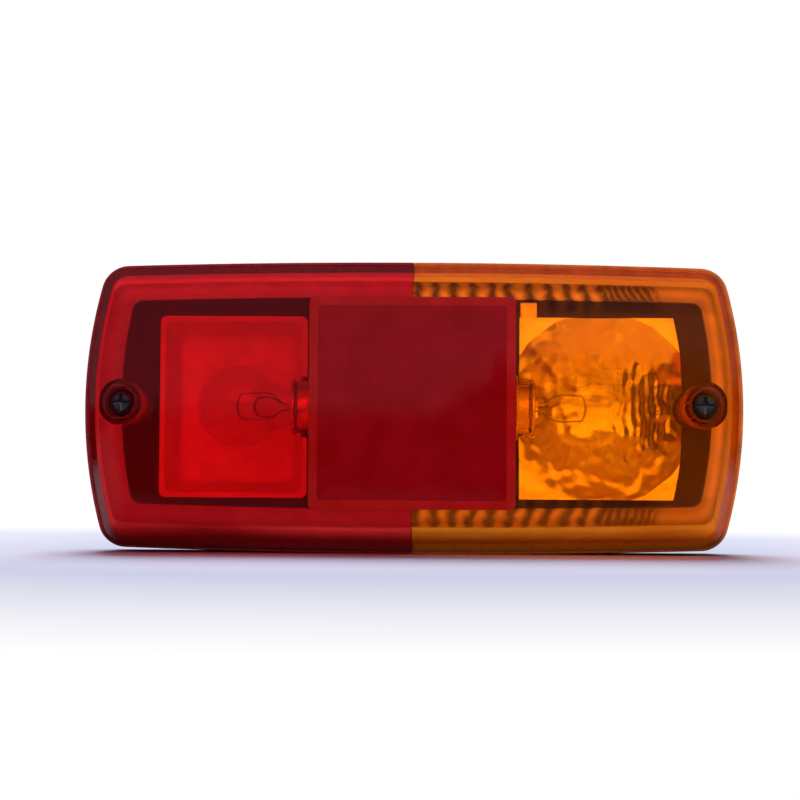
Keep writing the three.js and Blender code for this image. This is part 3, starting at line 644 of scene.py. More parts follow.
def lens_materials(name, colour, shares, base, ripple, boss_shares, boss_base, edge, fluted=False):
    """A lens half's four materials, in the order of its paints: outer skin, inner face, edge and screw boss.
    colour is what both surfaces of a wall let through together."""
    tint = [math.sqrt(c) for c in colour]
    return [clear_skin(f"{name}_lens_skin", tint),
            lens_optics(f"{name}_lens_optics", tint, shares, base, ripple, fluted),
            solid_plastic(f"{name}_lens_edge", edge),
            lens_optics(f"{name}_boss_optics", tint, boss_shares, boss_base, ripple)]


red_materials = lens_materials(
    "red", (0.78, 0.05, 0.06),
    [(-58, 0.085), (-56.55, 0.085), (-55.8, 0.48), (-53, 0.55), (-50.4, 0.48), (-46, 0.8), (-28, 0.85)],
    (0.8, 0.14, 0.18), 0.03, [(-60, 0.21), (-18, 0.15)], (0.8, 0.19, 0.22), (0.33, 0.012, 0.02))
amber_materials = lens_materials(
    "amber", (0.97, 0.43, 0.03),
    [(-58, 0.085), (-56.55, 0.085), (-55.8, 0.55), (-53, 0.8), (-50.6, 0.48), (-49.0, 0.6), (-28, 0.95)],
    (0.88, 0.29, 0.15), 0.04, [(-60, 0.25), (-18, 0.17)], (0.8, 0.28, 0.2), (0.75, 0.2, 0.02), True)


def reflex_front(name, deep, pale):
    """Dark red polished plastic with depth: partly clear, over the prisms behind it."""
    n = Nodes(name)
    normal = n.bump(n.noise(11, 2), 0.01)
    patch = n.noise(8, 4)
    base = n.mix(n.spread(patch, 0, 1), deep, pale)
    body = n.shader("BsdfPrincipled", Base_Color=base, Roughness=0.04, IOR=1.49, Normal=normal)
    through = n.shader("BsdfTransparent", Color=(0.62, 0.03, 0.04))
    return n.show(n.shaders(0.72, through, body))


def prism_plastic():
    """The sparkling red behind the reflex panel's face."""
    n = Nodes("prism_red")
    tone = n.mix(n.spread(n.noise(4, 4), 0, 1), (0.3, 0.006, 0.01), (0.42, 0.01, 0.014))
    return n.show(n.shader("BsdfPrincipled", Base_Color=tone, Roughness=0.18, Metallic=0.5))


def mirror_coat(name, colour, low, high, wave, size):
    """Vacuum-metallised plastic: bright, slightly wavy and hazy in patches."""
    n = Nodes(name)
    haze = n.noise(5, 5, 0.6)
    base = n.mix(n.spread(haze, 0, 1), colour, [c * 0.93 for c in colour])
    normal = n.bump(n.noise(size, 2, 0.4), wave)
    rough = n.spread(haze, low, high)
    return n.show(n.shader("BsdfPrincipled", Base_Color=base, Metallic=1.0, Roughness=rough, Normal=normal))


black_plastic = moulded("housing_black_plastic", (0.035, 0.035, 0.038), 0.45, 0.45, 0.025)
grey_plastic = moulded("carrier_grey_plastic", (0.11, 0.112, 0.12), 0.45, 0.5, 0.02)
rubber = moulded("black_rubber", (0.022, 0.022, 0.023), 0.75, 0.9, 0.04, 0.35, 0.2)
bowl_mirror = mirror_coat("bowl_mirror", (0.95, 0.95, 0.95), 0.1, 0.22, 0.2, 7)
tray_mirror = mirror_coat("tray_mirror", (0.95, 0.95, 0.95), 0.6, 0.75, 0.1, 7)
zinc = metal("zinc_plate", (0.62, 0.63, 0.66), 0.32, (0.5, 0.49, 0.44), (1, 0.15, 1))
black_steel = metal("black_oxide_steel", (0.018, 0.02, 0.03), 0.4, (0.035, 0.034, 0.042))
spring_steel = metal("spring_steel", (0.5, 0.5, 0.52), 0.28, (0.32, 0.3, 0.28))
brass = metal("brass_strip", (0.78, 0.56, 0.23), 0.28, (0.5, 0.33, 0.14), (0.2, 1, 1))
nickel = metal("nickel_plate", (0.7, 0.67, 0.6), 0.22, (0.55, 0.5, 0.42))
solder = metal("solder", (0.6, 0.6, 0.6), 0.38, (0.38, 0.38, 0.37), depth=0.05)
tungsten = metal("tungsten_wire", (0.34, 0.34, 0.36), 0.35, (0.2, 0.19, 0.2))
copper = metal("tinned_copper", (0.72, 0.5, 0.38), 0.35, (0.6, 0.56, 0.5))
glass = clear_skin("bulb_glass", (0.975, 0.985, 0.985), 0.03, 1.5)
dark_glass = moulded("vitrite_glass", (0.02, 0.012, 0.022), 0.14, 1.5, 0.01)
phenolic = moulded("phenolic_disc", (0.14, 0.055, 0.028), 0.5, 0.35, 0.02, 0.4)
cement = moulded("cap_cement", (0.5, 0.42, 0.32), 0.8, 0.5, 0.05, 0.2)
nylon = moulded("blue_nylon", (0.03, 0.09, 0.32), 0.4, 0.6, 0.01, 0.15)
WIRE_COLOURS = {
    "turn": ("green", (0.03, 0.2, 0.06), 0.15),
    "tail": ("blue", (0.02, 0.06, 0.26), 0.15),
    "stop": ("red", (0.36, 0.02, 0.018), 0.15),
    "earth": ("white", (0.62, 0.6, 0.55), 0.1),
}
insulation = {name: moulded(f"{colour}_insulation", tone, 0.42, 1.5, 0.01, contrast)
              for name, (colour, tone, contrast) in WIRE_COLOURS.items()}

SIDES = (("left", -1), ("right", 1))


# ---- Lens cover ----

# Both walls are (inset, y) points from the back to the front.
OUTER_SHOULDER = (7.65, -51.1)
OUTER_WALL = rounded(
    [(0, LENS_BACK), (0, LENS_FLANGE_FRONT), (0.8, LENS_FLANGE_FRONT), OUTER_SHOULDER, (14.14, LENS_FRONT),
     (24, LENS_FRONT)], [0.35, 0.3, 6, 3], 5)
INNER_SHOULDER = (8.8, -50.2)
INNER_FRONT = LENS_FRONT + 1.4
INNER_WALL = rounded(
    [(3.3, LENS_BACK + 1), (3.3, LENS_FLANGE_FRONT - 0.5), INNER_SHOULDER, (14.7, INNER_FRONT),
     (26, INNER_FRONT)], [0.6, 2, 1], 4)


def with_rows(levels, longest):
    """The levels with extra ones between any two that are further apart than longest."""
    dense = [levels[0]]
    for a, b in zip(levels, levels[1:]):
        steps = max(1, math.ceil(math.hypot(b[0] - a[0], b[1] - a[1]) / longest))
        dense += [(a[0] + (b[0] - a[0]) * k / steps, a[1] + (b[1] - a[1]) * k / steps)
                  for k in range(1, steps + 1)]
    return dense


def flute(x):
    """How far a flute of the amber bevel stands inwards at x: coarse near the middle, then fine, then 0."""
    if x < FLUTE_START or x > FLUTE_END:
        return 0
    pitch, depth = (FLUTE_PITCH, FLUTE_DEPTH) if x < FINE_START else (FINE_PITCH, FLUTE_DEPTH * 0.45)
    return depth * abs(math.sin(math.pi * (x - FLUTE_START) / pitch)) ** 0.8


def window(value, low, high, soft):
    """1 between low and high, with soft ramps down to 0 outside them."""
    return max(0, min(1, (value - low) / soft + 1, (high - value) / soft + 1))


LENS_STEPS = (24, 12, 60)
FLUTED_STEPS = (24, 12, 200)
LENS_SIDES = 64
SCREW_WAY_RADIUS = 2.35
RED_END_LEAN = 2.4
LEAN_START = 75
LONG_BEVEL_Z = 24


def inner_rings(fluted):
    """Rings of the lens's inner face, with flutes moulded into the long bevels of the amber half. The bevel
    leans further inwards at the red end."""
    rings = []
    bevel_back, bevel_front = INNER_SHOULDER[1], INNER_FRONT + 0.1
    for inset, y in with_rows(INNER_WALL, 1.0):
        ring = []
        share = (y - bevel_back) / (bevel_front - bevel_back)
        fade = math.sin(math.pi * min(max(share, 0), 1)) ** 0.5 if 0 < share < 1 else 0
        for x, z in outline(inset, *(FLUTED_STEPS if fluted else LENS_STEPS)):
            x += RED_END_LEAN * min(max(share, 0), 1) * window(-x, LEAN_START, HALF_LENGTH, 20)
            stand = flute(x) * fade * 0.7 if fluted and abs(z) > LONG_BEVEL_Z else 0
            ring.append((x, y + stand, z - math.copysign(stand, z)))
        rings.append(ring)
    return rings


def lens_half(sign):
    """Paint 0 is the outer skin, 1 the inner face, 2 the thick edge and 3 the screw's boss and pocket."""
    x = sign * SCREW_X
    outside = outline_loft(with_rows(OUTER_WALL, 2.5), 0, LENS_STEPS)
    outside.paints = [2 if min(outside.points[i].y for i in face) > LENS_FLANGE_FRONT - 0.1 else 0
                      for face in outside.faces]
    inside = skin(inner_rings(sign > 0), 1)
    reach = outline_loft([(3.5, BOSS_END + 2), (3.5, LENS_FLANGE_FRONT - 1)], 1, LENS_STEPS)
    boss_head = rod(7, LENS_FRONT + 1.2, POCKET_FLOOR + 1.5, x, 0, LENS_SIDES, 3)
    boss = lathe([(0, POCKET_FLOOR - 1), (5.5, POCKET_FLOOR - 1), (5.3, BOSS_END + 0.2), (5.1, BOSS_END),
                  (0, BOSS_END)], LENS_SIDES, 3, x)
    wall = cut(outside, inside)
    room = fuse(outside, reach)
    wall = fuse(wall, common(boss_head, room), common(boss, room))
    pocket = lathe(rounded([(0, LENS_FRONT - 4), (6.4, LENS_FRONT - 4), (5, LENS_FRONT + 1.2),
                            (5, POCKET_FLOOR), (0, POCKET_FLOOR)], [0, 1.5, 0.8], 5), LENS_SIDES, 3, x)
    screw_way = rod(SCREW_WAY_RADIUS, LENS_FRONT, BOSS_END + 1, x, 0, 32, 3)
    opening = block((-29, LENS_FRONT - 2, -30), (29, LENS_FRONT + 6, 30), paint=1)
    ends = sorted((sign * SEAM_GAP, sign * (HALF_LENGTH + 5)))
    half = block((ends[0], LENS_FRONT - 5, -60), (ends[1], 0, 60), paint=0)
    return common(cut(wall, pocket, screw_way, opening), half)


def make_lens():
    for name, sign, materials in (("red", -1, red_materials), ("amber", 1, amber_materials)):
        piece(f"{name}_lens_shell", lens_half(sign), "lens_cover", materials, [f"lens_{name}"],
              26)


def make_reflex():
    """The red panel with its sloping border, small prisms behind it, and the plate that seals them."""
    low, high = REFLEX_LOW, REFLEX_HIGH
    half_width, half_height = high.x, high.z
    back = LENS_FRONT - 0.1
    rings = []
    levels = rounded([(0, back), (0, back - 0.5), (2.8, low.y), (8, low.y)], [0.25, 0.8], 4)
    for inset, y in levels:
        corner = max(1.6 - inset * 0.2, 0.6)
        ring = rounded_rectangle(-half_width + inset, half_width - inset, half_height - inset, corner)
        rings.append([(x, y, z) for x, z in ring])
    front = skin(rings)
    front.paints = [1 if max(front.points[i].y for i in face) > low.y + 0.03 else 0 for face in front.faces]
    plug = block((-28.5, back - 0.4, -29.5), (28.5, LENS_FRONT + 2.6, 29.5), 0.3)
    piece("reflex_panel", fuse(front, plug), "lens_cover",
          [reflex_front("reflex_red_gloss", (0.34, 0.0012, 0.003), (0.42, 0.0025, 0.008)),
           reflex_front("reflex_red_border", (0.5, 0.006, 0.004), (0.62, 0.011, 0.01))],
          ["reflex_reflector"], 24)
    prisms = Shape()
    pitch, top, floor = 2.6, LENS_FRONT + 2.7, LENS_FRONT + 3.9
    columns, rows = int(54 / pitch), int(56 / pitch)
    for i in range(columns):
        for j in range(rows):
            x0 = (i - columns / 2) * pitch
            z0 = (j - rows / 2) * pitch
            corners = [(x0, top, z0), (x0 + pitch, top, z0), (x0 + pitch, top, z0 + pitch),
                       (x0, top, z0 + pitch)]
            tip = (x0 + pitch / 2, floor, z0 + pitch / 2)
            prisms.add(corners + [tip], [(0, 1, 4), (1, 2, 4), (2, 3, 4), (3, 0, 4), (3, 2, 1, 0)])
    piece("reflex_prisms", prisms, "lens_cover", prism_plastic(), sharp=10)
    plate_ring = rounded_rectangle(-27, 27, 28, 2)
    piece("reflex_seal_plate", plate(plate_ring, LENS_FRONT + 6, LENS_FRONT + 4.1, 0.4), "lens_cover",
          black_plastic, ["reflex_back_plate"])


def make_lens_screw(side, sign):
    """A black pan-head screw with a cross recess, and the rubber ring under its head."""
    x = sign * SCREW_X
    head_back = SCREW_FRONT + 2.4
    profile = rounded([(0, SCREW_FRONT), (2.4, SCREW_FRONT), (3.7, SCREW_FRONT + 0.5),
                       (4.1, SCREW_FRONT + 1.3), (4.1, head_back), (2, head_back), (1.95, -19), (0, -19)],
                      [0.5, 0.6, 0.3, 0.25, 0.3, 0.1], 4)
    head = lathe(profile, 48, 0, x)
    recess = [block((x - width, SCREW_FRONT - 1, -height), (x + width, SCREW_FRONT + 1.1, height), 0.12)
              for width, height in ((2.6, 0.5), (0.5, 2.6))]
    recess.append(lathe([(0, SCREW_FRONT - 1), (1.35, SCREW_FRONT - 1), (1.1, SCREW_FRONT + 1),
                         (0, SCREW_FRONT + 1.5)], 24, 0, x))
    head = cut(head, *recess)
    shank = thread(x, 0, -19.2, SCREW_END + 0.8, 2, 1.6, 0.7, 28)
    tip = lathe([(0, SCREW_END + 0.7), (1.6, SCREW_END + 0.7), (1.1, SCREW_END), (0, SCREW_END)], 28, 0, x)
    piece(f"lens_screw_black_{side}", fuse(head, shank, tip), f"{side}_lens_screw", black_steel,
          [f"lens_screw_{side}"])
    low, high = box_mm(f"screw_seal_{side}")
    seal = lathe(rounded([(2.4, low.y), (4.2, low.y), (4.4, (low.y + high.y) / 2), (4.2, high.y),
                          (2.4, high.y), (2.35, (low.y + high.y) / 2)], 0.3, 4), 48, 0, x)
    piece(f"screw_seal_ring_{side}", seal, f"{side}_screw_seal", rubber, [f"screw_seal_{side}"])


make_lens()
make_reflex()
for side, sign in SIDES:
    make_lens_screw(side, sign)


# ---- Reflectors ----

REFLECTOR_RIM = -27
REFLECTOR_HALF_HEIGHT = 29
TRAY_ENDS = (-81, -33.8)
BOWL_START = 33.8
PAST_LENS = -40
BOWL_CENTRE = 59.5
BOWL_RADIUS = 31
BOWL_BOTTOM = -11
BOWL_DEPTH = REFLECTOR_RIM - BOWL_BOTTOM
SOCKET_WAY_RADIUS = 9.7


def legs(places, top):
    """Short pins that stand a reflector on the housing's floor at (x, z) places."""
    return [lathe(rounded([(0, top), (2.2, top), (1.8, FLOOR_FRONT - 0.3), (0, FLOOR_FRONT - 0.3)], 0.3), 24,
                  0, x, z) for x, z in places]


def make_tray():
    """Left: a tray with softly rounded walls behind the tail and stop bulb, as (margin, corner, y) levels."""
    x0, x1 = TRAY_ENDS

    def level(margin, corner):
        return rounded_rectangle(x0 + margin, x1 - margin, REFLECTOR_HALF_HEIGHT - margin, corner, 8)

    back = [(7.5, 6, -11.3), (3.2, 4.5, -11.3), (1.4, 3, -15), (0.9, 2, -25.8)]
    rim = [(0, 2, -25.8), (0, 2, REFLECTOR_RIM), (0.3, 1.9, REFLECTOR_RIM), (1.2, 2.2, REFLECTOR_RIM)]
    front = [(1.7, 2.4, -26.7), (2, 2.6, -26), (3.4, 4.5, -15.5), (4.2, 5, -13.6), (5.6, 5.5, -12.7),
             (8, 6, -12.5)]
    face = skin([[(x, y, z) for x, z in level(m, c)] for m, c, y in back + rim + front])
    standing = legs([(-74, 23), (-74, -23), (-40, 23), (-40, -23)], -12)
    socket_way = rod_x(SOCKET_WAY_RADIUS, -44, -30, 64, BULB_AXIS_Y)
    piece("tail_reflector_tray", cut(fuse(face, *standing), socket_way), "housing", tray_mirror,
          ["reflector_tail"], 35)


def bowl_depth(radius, angle):
    """The bowl's face: a wavy paraboloid with radial flutes near its edge and a few ribs beyond the bulb."""
    base = BOWL_BOTTOM + BOWL_DEPTH * radius ** 2 / BOWL_RADIUS ** 2
    x, z = radius * math.cos(angle), radius * math.sin(angle)
    ring = max(0, (radius / BOWL_RADIUS - 0.35) / 0.65)
    flutes = 0.4 * ring * abs(math.sin(9 * angle + 0.4))
    drift = 1.6 * noise.noise(Vector((x / 8, z / 6, 5.4)))
    ribs = 0.13 * math.cos(2 * math.pi * (x + drift) / 3.1) * window(x, 6, 22, 3) * window(z, -13, 12, 4)
    wave = 0.7 * noise.noise(Vector((x / 9, z / 9, 3.1)))
    ripple = 0.33 * noise.noise(Vector((x / 3.3, z / 3.3, 8.2)))
    return base - flutes - ribs - (wave + ripple) * window(radius, 6, 27, 4)


def make_bowl():
    """Right: a metallised paraboloid bowl cut off above and below, with a flat rim."""
    sides, steps = 216, 42
    front = REFLECTOR_RIM - 3

    def bowl(offset, plain, top):
        points, faces = [(BOWL_CENTRE, bowl_depth(0, 0) + offset, 0)], []
        for i in range(1, steps + 1):
            radius = BOWL_RADIUS * i / steps
            for k in range(sides):
                angle = 2 * math.pi * k / sides
                share = (radius / BOWL_RADIUS) ** 2
                y = BOWL_BOTTOM + BOWL_DEPTH * share if plain else bowl_depth(radius, angle)
                y += offset * (1 + 0.5 * share)
                points.append((BOWL_CENTRE + radius * math.cos(angle), min(y, top + 40),
                               radius * math.sin(angle)))
        rim = len(points)
        points += [(p[0], top, p[2]) for p in points[rim - sides:rim]]
        for k in range(sides):
            j = (k + 1) % sides
            faces.append((0, 1 + k, 1 + j))
            for i in range(steps):
                a = 1 + i * sides
                faces.append((a + k, a + sides + k, a + sides + j, a + j))
        faces.append([rim + k for k in range(sides)])
        return Shape().add(points, faces)

    hollow = bowl(0, False, front)
    solid = bowl(1.4, True, REFLECTOR_RIM + 0.3)
    half, rim_back = REFLECTOR_HALF_HEIGHT, REFLECTOR_RIM + 1.2
    edge = rod(END_BOW_RADIUS - 19, PAST_LENS, 0, HALF_LENGTH - END_BOW_RADIUS, 0, 256)
    rim = block((BOWL_START, REFLECTOR_RIM, -half), (100, rim_back, half))
    span = block((BOWL_START, PAST_LENS, -half), (100, 0, half))
    tab = block((BOWL_START, REFLECTOR_RIM, 25), (39.5, rim_back, 34), 0.5, 3)
    body = fuse(common(fuse(rim, solid), span, edge), tab)
    standing = legs([(78, 25.5), (78, -25.5), (38, 25.5), (38, -25.5)], REFLECTOR_RIM + 0.6)
    socket_way = rod_x(SOCKET_WAY_RADIUS, 30, 44, 64, BULB_AXIS_Y)
    boss_way = rod(6.3, PAST_LENS, 0, SCREW_X)
    shape = cut(fuse(body, *standing), hollow, socket_way, boss_way)
    piece("turn_reflector_bowl", shape, "housing", bowl_mirror, ["reflector_turn"], 35)


make_tray()
make_bowl()

# ---- Housing, gasket, pad and grommet ----

PAD_FRONT = -3
RIM_BACK = -21
GROMMET_FLANGE = 8
POST_RADIUS = 4.5
BOLT_HOLE = 3.4


def make_housing():
    """The black tub: thin walls, screw posts with webs, shallow ribs along its floor, and holes for bolts,
    cable and drains."""
    outer = rounded([(12, PAD_FRONT), (2.5, PAD_FRONT), (0.55, RIM_BACK), (0, RIM_BACK), (0, RIM_FRONT),
                     (1.2, RIM_FRONT)], [1.2, 0.3, 0.3, 0.4], 4)
    inner = rounded([(12, FLOOR_FRONT), (5, FLOOR_FRONT), (3, RIM_FRONT - 1)], [1.5], 4)
    shape = cut(outline_loft(with_rows(outer, 3)), outline_loft(inner))
    room = outline_loft([(4.6, FLOOR_FRONT + 1), (2.7, RIM_FRONT + 2.5)])
    adds = []
    for side, sign in SIDES:
        x = sign * SCREW_X
        adds.append(lathe(rounded([(0, FLOOR_FRONT + 1), (POST_RADIUS + 1, FLOOR_FRONT + 1),
                                   (POST_RADIUS, FLOOR_FRONT - 2), (POST_RADIUS, -19), (0, -19)],
                                  [0, 1.5, 0.4], 4), 48, 0, x))
        for turn in (0.25, 0.75, 1.25, 1.75):
            web = block((-0.6, -15, 0), (0.6, FLOOR_FRONT + 1, POST_RADIUS + 2.6), 0.2)
            spin = Matrix.Translation((x, 0, 0)) @ Matrix.Rotation(turn * math.pi, 4, "Y")
            adds.append(common(web.move(spin), room))
    for z in (-38, 38):
        for x0, x1 in ((-72, -12), (12, 72)):
            adds.append(block((x0, FLOOR_FRONT - 1.3, z - 0.6), (x1, FLOOR_FRONT + 1, z + 0.6), 0.25))
    shape = fuse(shape, *adds)
    holes = []
    for side, sign in SIDES:
        holes.append(rod(3.05, -8.9, -20, sign * SCREW_X))
        holes.append(lathe([(0, 0), (4.1, 0), (BOLT_HOLE, -3.7), (BOLT_HOLE, -12), (0, -12)], 48, 0,
                           sign * BOLT_X))
    holes.append(rod(6.3, 0, -12, 0, CABLE_Z))
    for x in (-46, 46):
        holes.append(block((x - 3.2, 0, -HALF_HEIGHT + 4.2), (x + 3.2, -8, -HALF_HEIGHT + 6.8), 0.3))
    piece("housing_tub", cut(shape, *holes), "housing", black_plastic, ["rear_housing"])


def make_gasket():
    """A rubber ring round the rim, with two raised lips on each face."""
    back, front = RIM_FRONT - 0.1, LENS_BACK + 0.1
    lips = [(0.35, 0.25), (0.8, 0), (1.2, 0.25), (1.9, 0.25), (2.4, 0), (2.9, 0.25), (3.2, 0.6)]
    section = [(inset, back - drop) for inset, drop in lips]
    section += [(inset, front + drop) for inset, drop in reversed(lips)] + [(0.3, (back + front) / 2)]
    rings = [[(x, y, z) for x, z in outline(inset)] for inset, y in section]
    shape = skin(rings + rings[:1], 0, False)
    piece("gasket_ring", shape, "housing", rubber, ["lens_gasket"], 50)


def make_pad():
    """The rubber pad: a soft-edged sheet with a raised lip all round its back and a ring round each hole."""
    shape = outline_loft([(3.1, -0.35), (2.7, -0.6), (2.6, -1.1), (2.6, -2.5), (2.9, -2.9)])
    lip = cut(outline_loft([(3.0, 0), (2.7, -0.3), (2.7, -1.2)]), outline_loft([(6, 1), (6.3, -1.4)]))
    shape = fuse(shape, lip)
    for side, sign in SIDES:
        shape = fuse(shape, rod(7.5, 0, -1.2, sign * BOLT_X))
    shape = fuse(shape, rod(12, 0, -1.2, 0, CABLE_Z))
    tools = [rod(BOLT_HOLE, -5, 2, sign * BOLT_X) for side, sign in SIDES]
    tools.append(rod(GROMMET_FLANGE + 0.9, -5, 2, 0, CABLE_Z))
    for x in (-50, -38, 38, 50):
        tools.append(block((x - 1, -0.9, -30), (x + 1, 1, 30), 0.3))
    piece("rubber_pad", cut(shape, *tools), "housing", rubber, ["mounting_pad"])


def make_grommet():
    """A rubber bush that grips the floor between two flanges. A thin scored skin, which a cable pushes open,
    shuts its bore."""
    flange = GROMMET_FLANGE
    profile = rounded([(3.5, -14), (5, -14), (5.8, -8.3), (flange, -8.3), (flange, -6.3), (6, -6.3),
                       (6, -2.7), (flange, -2.7), (flange, -0.6), (4.6, -0.6), (3.5, -2)],
                      [0.5, 0.6, 0.6, 0.5, 0.1, 0.1, 0.5, 0.6, 0.6, 0.4], 4)
    bore = []
    for y in (-4, -10.5):
        bore += [(3.55, y + 0.8), (3.3, y), (3.55, y - 0.8)]
    bush = lathe(profile + bore, 64, 0, 0, CABLE_Z)
    membrane = lathe([(0, -6.9), (0.5, -7.1), (3.7, -7.4), (3.7, -8), (0.5, -7.8), (0, -7.6)], 64, 0, 0,
                     CABLE_Z)
    scores = []
    for turn in range(3):
        spin = Matrix.Translation((0, 0, CABLE_Z)) @ Matrix.Rotation(turn * math.pi / 3, 4, "Y")
        scores.append(block((-3.1, -7.25, -0.12), (3.1, -6, 0.12)).move(spin))
    piece("cable_bush", fuse(bush, cut(membrane, *scores)), "housing", rubber, ["cable_grommet"],
          40)


make_housing()
make_gasket()
make_pad()
make_grommet()

# ---- Bolts, washers, nuts and inserts ----

HEAD_FLATS = 10
HEAD_BACK = FLOOR_FRONT - 0.2
HEAD_HEIGHT = 4


def chamfered_hexagon(x, low, high, chamfer_low, chamfer_high):
    """A hexagon prism along Y whose corners are turned away at the chosen ends; low is the smaller y."""
    corner = HEAD_FLATS / math.sqrt(3) + 0.02
    inner, drop = HEAD_FLATS / 2 - 0.15, 0.62
    profile = [(0, low)]
    profile += [(inner, low), (corner, low + drop)] if chamfer_low else [(corner, low)]
    profile += [(corner, high - drop), (inner, high)] if chamfer_high else [(corner, high)]
    cone = lathe(profile + [(0, high)], 96, 0, x)
    return common(plate(hexagon(HEAD_FLATS, 0.4, x), high, low, 0), cone)


def make_bolt(side, sign):
    """A hexagon bolt with a dished head, a washer face and a thread on its rear part."""
    x = sign * BOLT_X
    top = HEAD_BACK - HEAD_HEIGHT
    head = chamfered_hexagon(x, top, HEAD_BACK - 0.25, True, False)
    face = lathe(rounded([(0, HEAD_BACK - 0.5), (4.7, HEAD_BACK - 0.5), (4.7, HEAD_BACK), (0, HEAD_BACK)],
                         0.12), 64, 0, x)
    dish = lathe([(0, top - 1), (3.4, top - 1), (3.1, top + 0.3), (0, top + 0.35)], 48, 0, x)
    plain = rod(2.95, HEAD_BACK - 1, -1.8, x)
    screw = thread(x, 0, -2, BOLT_END - 0.7, 3, 2.45, 1, 40)
    tip = lathe([(0, BOLT_END - 0.9), (2.46, BOLT_END - 0.9), (2.0, BOLT_END), (0, BOLT_END)], 40, 0, x)
    piece(f"hex_bolt_{side}", fuse(cut(head, dish), face, plain, screw, tip), "housing", zinc,
          [f"mounting_bolt_{side}"])


def make_washer(side, sign):
    """A plain washer with one edge rounded more than the others, as a punch leaves it."""
    low, high = box_mm(f"plain_washer_{side}")
    radius = (high.x - low.x) / 2
    profile = rounded([(3.3, low.y), (radius, low.y), (radius, high.y), (3.3, high.y),
                       (3.25, (low.y + high.y) / 2)], [0.15, 0.45, 0.15], 4)
    piece(f"washer_disc_{side}", lathe(profile, 72, 0, sign * BOLT_X), "housing", zinc,
          [f"plain_washer_{side}"])


def make_nut(side, sign):
    """A lock nut: chamfered hexagon, crimped collar and, in the collar, a nylon ring (paint 1)."""
    x = sign * BOLT_X
    low, high = box_mm(f"lock_nut_{side}")
    body = chamfered_hexagon(x, low.y, low.y + 5.5, True, True)
    collar = lathe(rounded([(0, low.y + 5), (4.4, low.y + 5), (4.4, high.y), (3.5, high.y),
                            (3.45, high.y - 0.5), (0, high.y - 0.5)], [0.1, 0.8, 0.2, 0.1], 5), 64, 0, x)
    bore = lathe([(0, low.y - 1), (3.9, low.y - 1), (3.0, low.y + 0.5), (3.0, high.y + 1), (0, high.y + 1)],
                 48, 0, x)
    ring = lathe(rounded([(2.85, high.y - 1.8), (3.9, high.y - 1.8), (3.9, high.y - 0.45),
                          (2.95, high.y - 0.45)], [0.1, 0.2], 3), 48, 1, x)
    pocket = rod(3.95, high.y - 1.85, high.y - 0.6, x)
    piece(f"locking_nut_{side}", cut(fuse(body, collar), bore, pocket).join(ring), "housing", [zinc, nylon],
          [f"lock_nut_{side}"])


def make_insert(side, sign):
    """A brass insert with two knurled bands and a groove between them."""
    x = sign * SCREW_X
    low, high = box_mm(f"screw_insert_{side}")
    sides = 120
    levels = [(2.4, low.y), (2.75, low.y), (3.0, low.y + 0.35), (3.0, low.y + 3.8), (2.65, low.y + 4.2),
              (2.65, low.y + 5.4), (3.0, low.y + 5.8), (3.0, high.y - 0.5), (2.7, high.y), (2.4, high.y)]
    rings = []
    for radius, y in levels:
        ring = []
        for k in range(sides):
            tooth = 0.16 * (k % 4 in (0, 1)) if radius > 2.9 else 0
            angle = 2 * math.pi * k / sides
            ring.append((x + (radius - tooth) * math.cos(angle), y, (radius - tooth) * math.sin(angle)))
        rings.append(ring)
    rings += [[(x + 2.15 * math.cos(2 * math.pi * k / sides), y, 2.15 * math.sin(2 * math.pi * k / sides))
               for k in range(sides)] for y in (high.y - 0.4, low.y + 0.4)]
    piece(f"knurled_insert_{side}", skin(rings + rings[:1], 0, False), "housing", brass,
          [f"screw_insert_{side}"])


for side, sign in SIDES:
    make_bolt(side, sign)
    make_washer(side, sign)
    make_nut(side, sign)
    make_insert(side, sign)

# ---- Bulb carrier, earth strap and terminals ----

SOCKET_RADIUS = 8.35
CARRIER_BACK = FLOOR_FRONT - 0.2
CARRIER_HALF = 32
ACROSS_X = Matrix(((0, 1, 0, 0), (0, 0, 1, 0), (1, 0, 0, 0), (0, 0, 0, 1)))
TERMINALS = (("stop", -18), ("tail", -6), ("earth", 6), ("turn", 18))


def make_carrier():
    """A base plate with round-topped end walls, gussets between them and rivet heads on its corners."""
    base = block((-CARRIER_HALF, CARRIER_BACK - 2, -24), (CARRIER_HALF, CARRIER_BACK, 24), 0.4, 3)
    adds = []
    for side, sign in SIDES:
        x0, x1 = sorted((sign * (CARRIER_HALF - 2), sign * CARRIER_HALF))
        profile = [(-14, CARRIER_BACK - 1), *arc(0, BULB_AXIS_Y, 14, math.pi, 2 * math.pi, 24),
                   (14, CARRIER_BACK - 1)]
        adds.append(plate(profile, x0, x1, 0.3, 2).move(ACROSS_X))
        for z in (-11, 11):
            near, far = sign * (CARRIER_HALF - 1), sign * (CARRIER_HALF - 8)
            gusset = [(near, CARRIER_BACK - 1), (near, -17), (near - sign * 1.6, -17),
                      (far, CARRIER_BACK - 1.8), (far, CARRIER_BACK - 1)]
            adds.append(skin([[(x, y, z + side) for x, y in gusset] for side in (-0.7, 0.7)]))
        for z in (-20, 20):
            adds.append(lathe(rounded([(0, CARRIER_BACK - 1.8), (2.4, CARRIER_BACK - 1.8),
                                       (2.2, CARRIER_BACK - 2.9), (0, CARRIER_BACK - 3.1)], [0.1, 0.7], 4),
                              32, 0, sign * 27, z))
    holes = [rod_x(SOCKET_RADIUS + 0.45, -40, 40, 72, BULB_AXIS_Y)]
    for z in (-17, 17):
        holes.append(block((-14, CARRIER_BACK - 4, z - 2), (14, CARRIER_BACK + 1, z + 2), 0.8, 4))
    piece("bulb_carrier_bracket", cut(fuse(base, *adds), *holes), "housing", grey_plastic, ["bulb_carrier"])


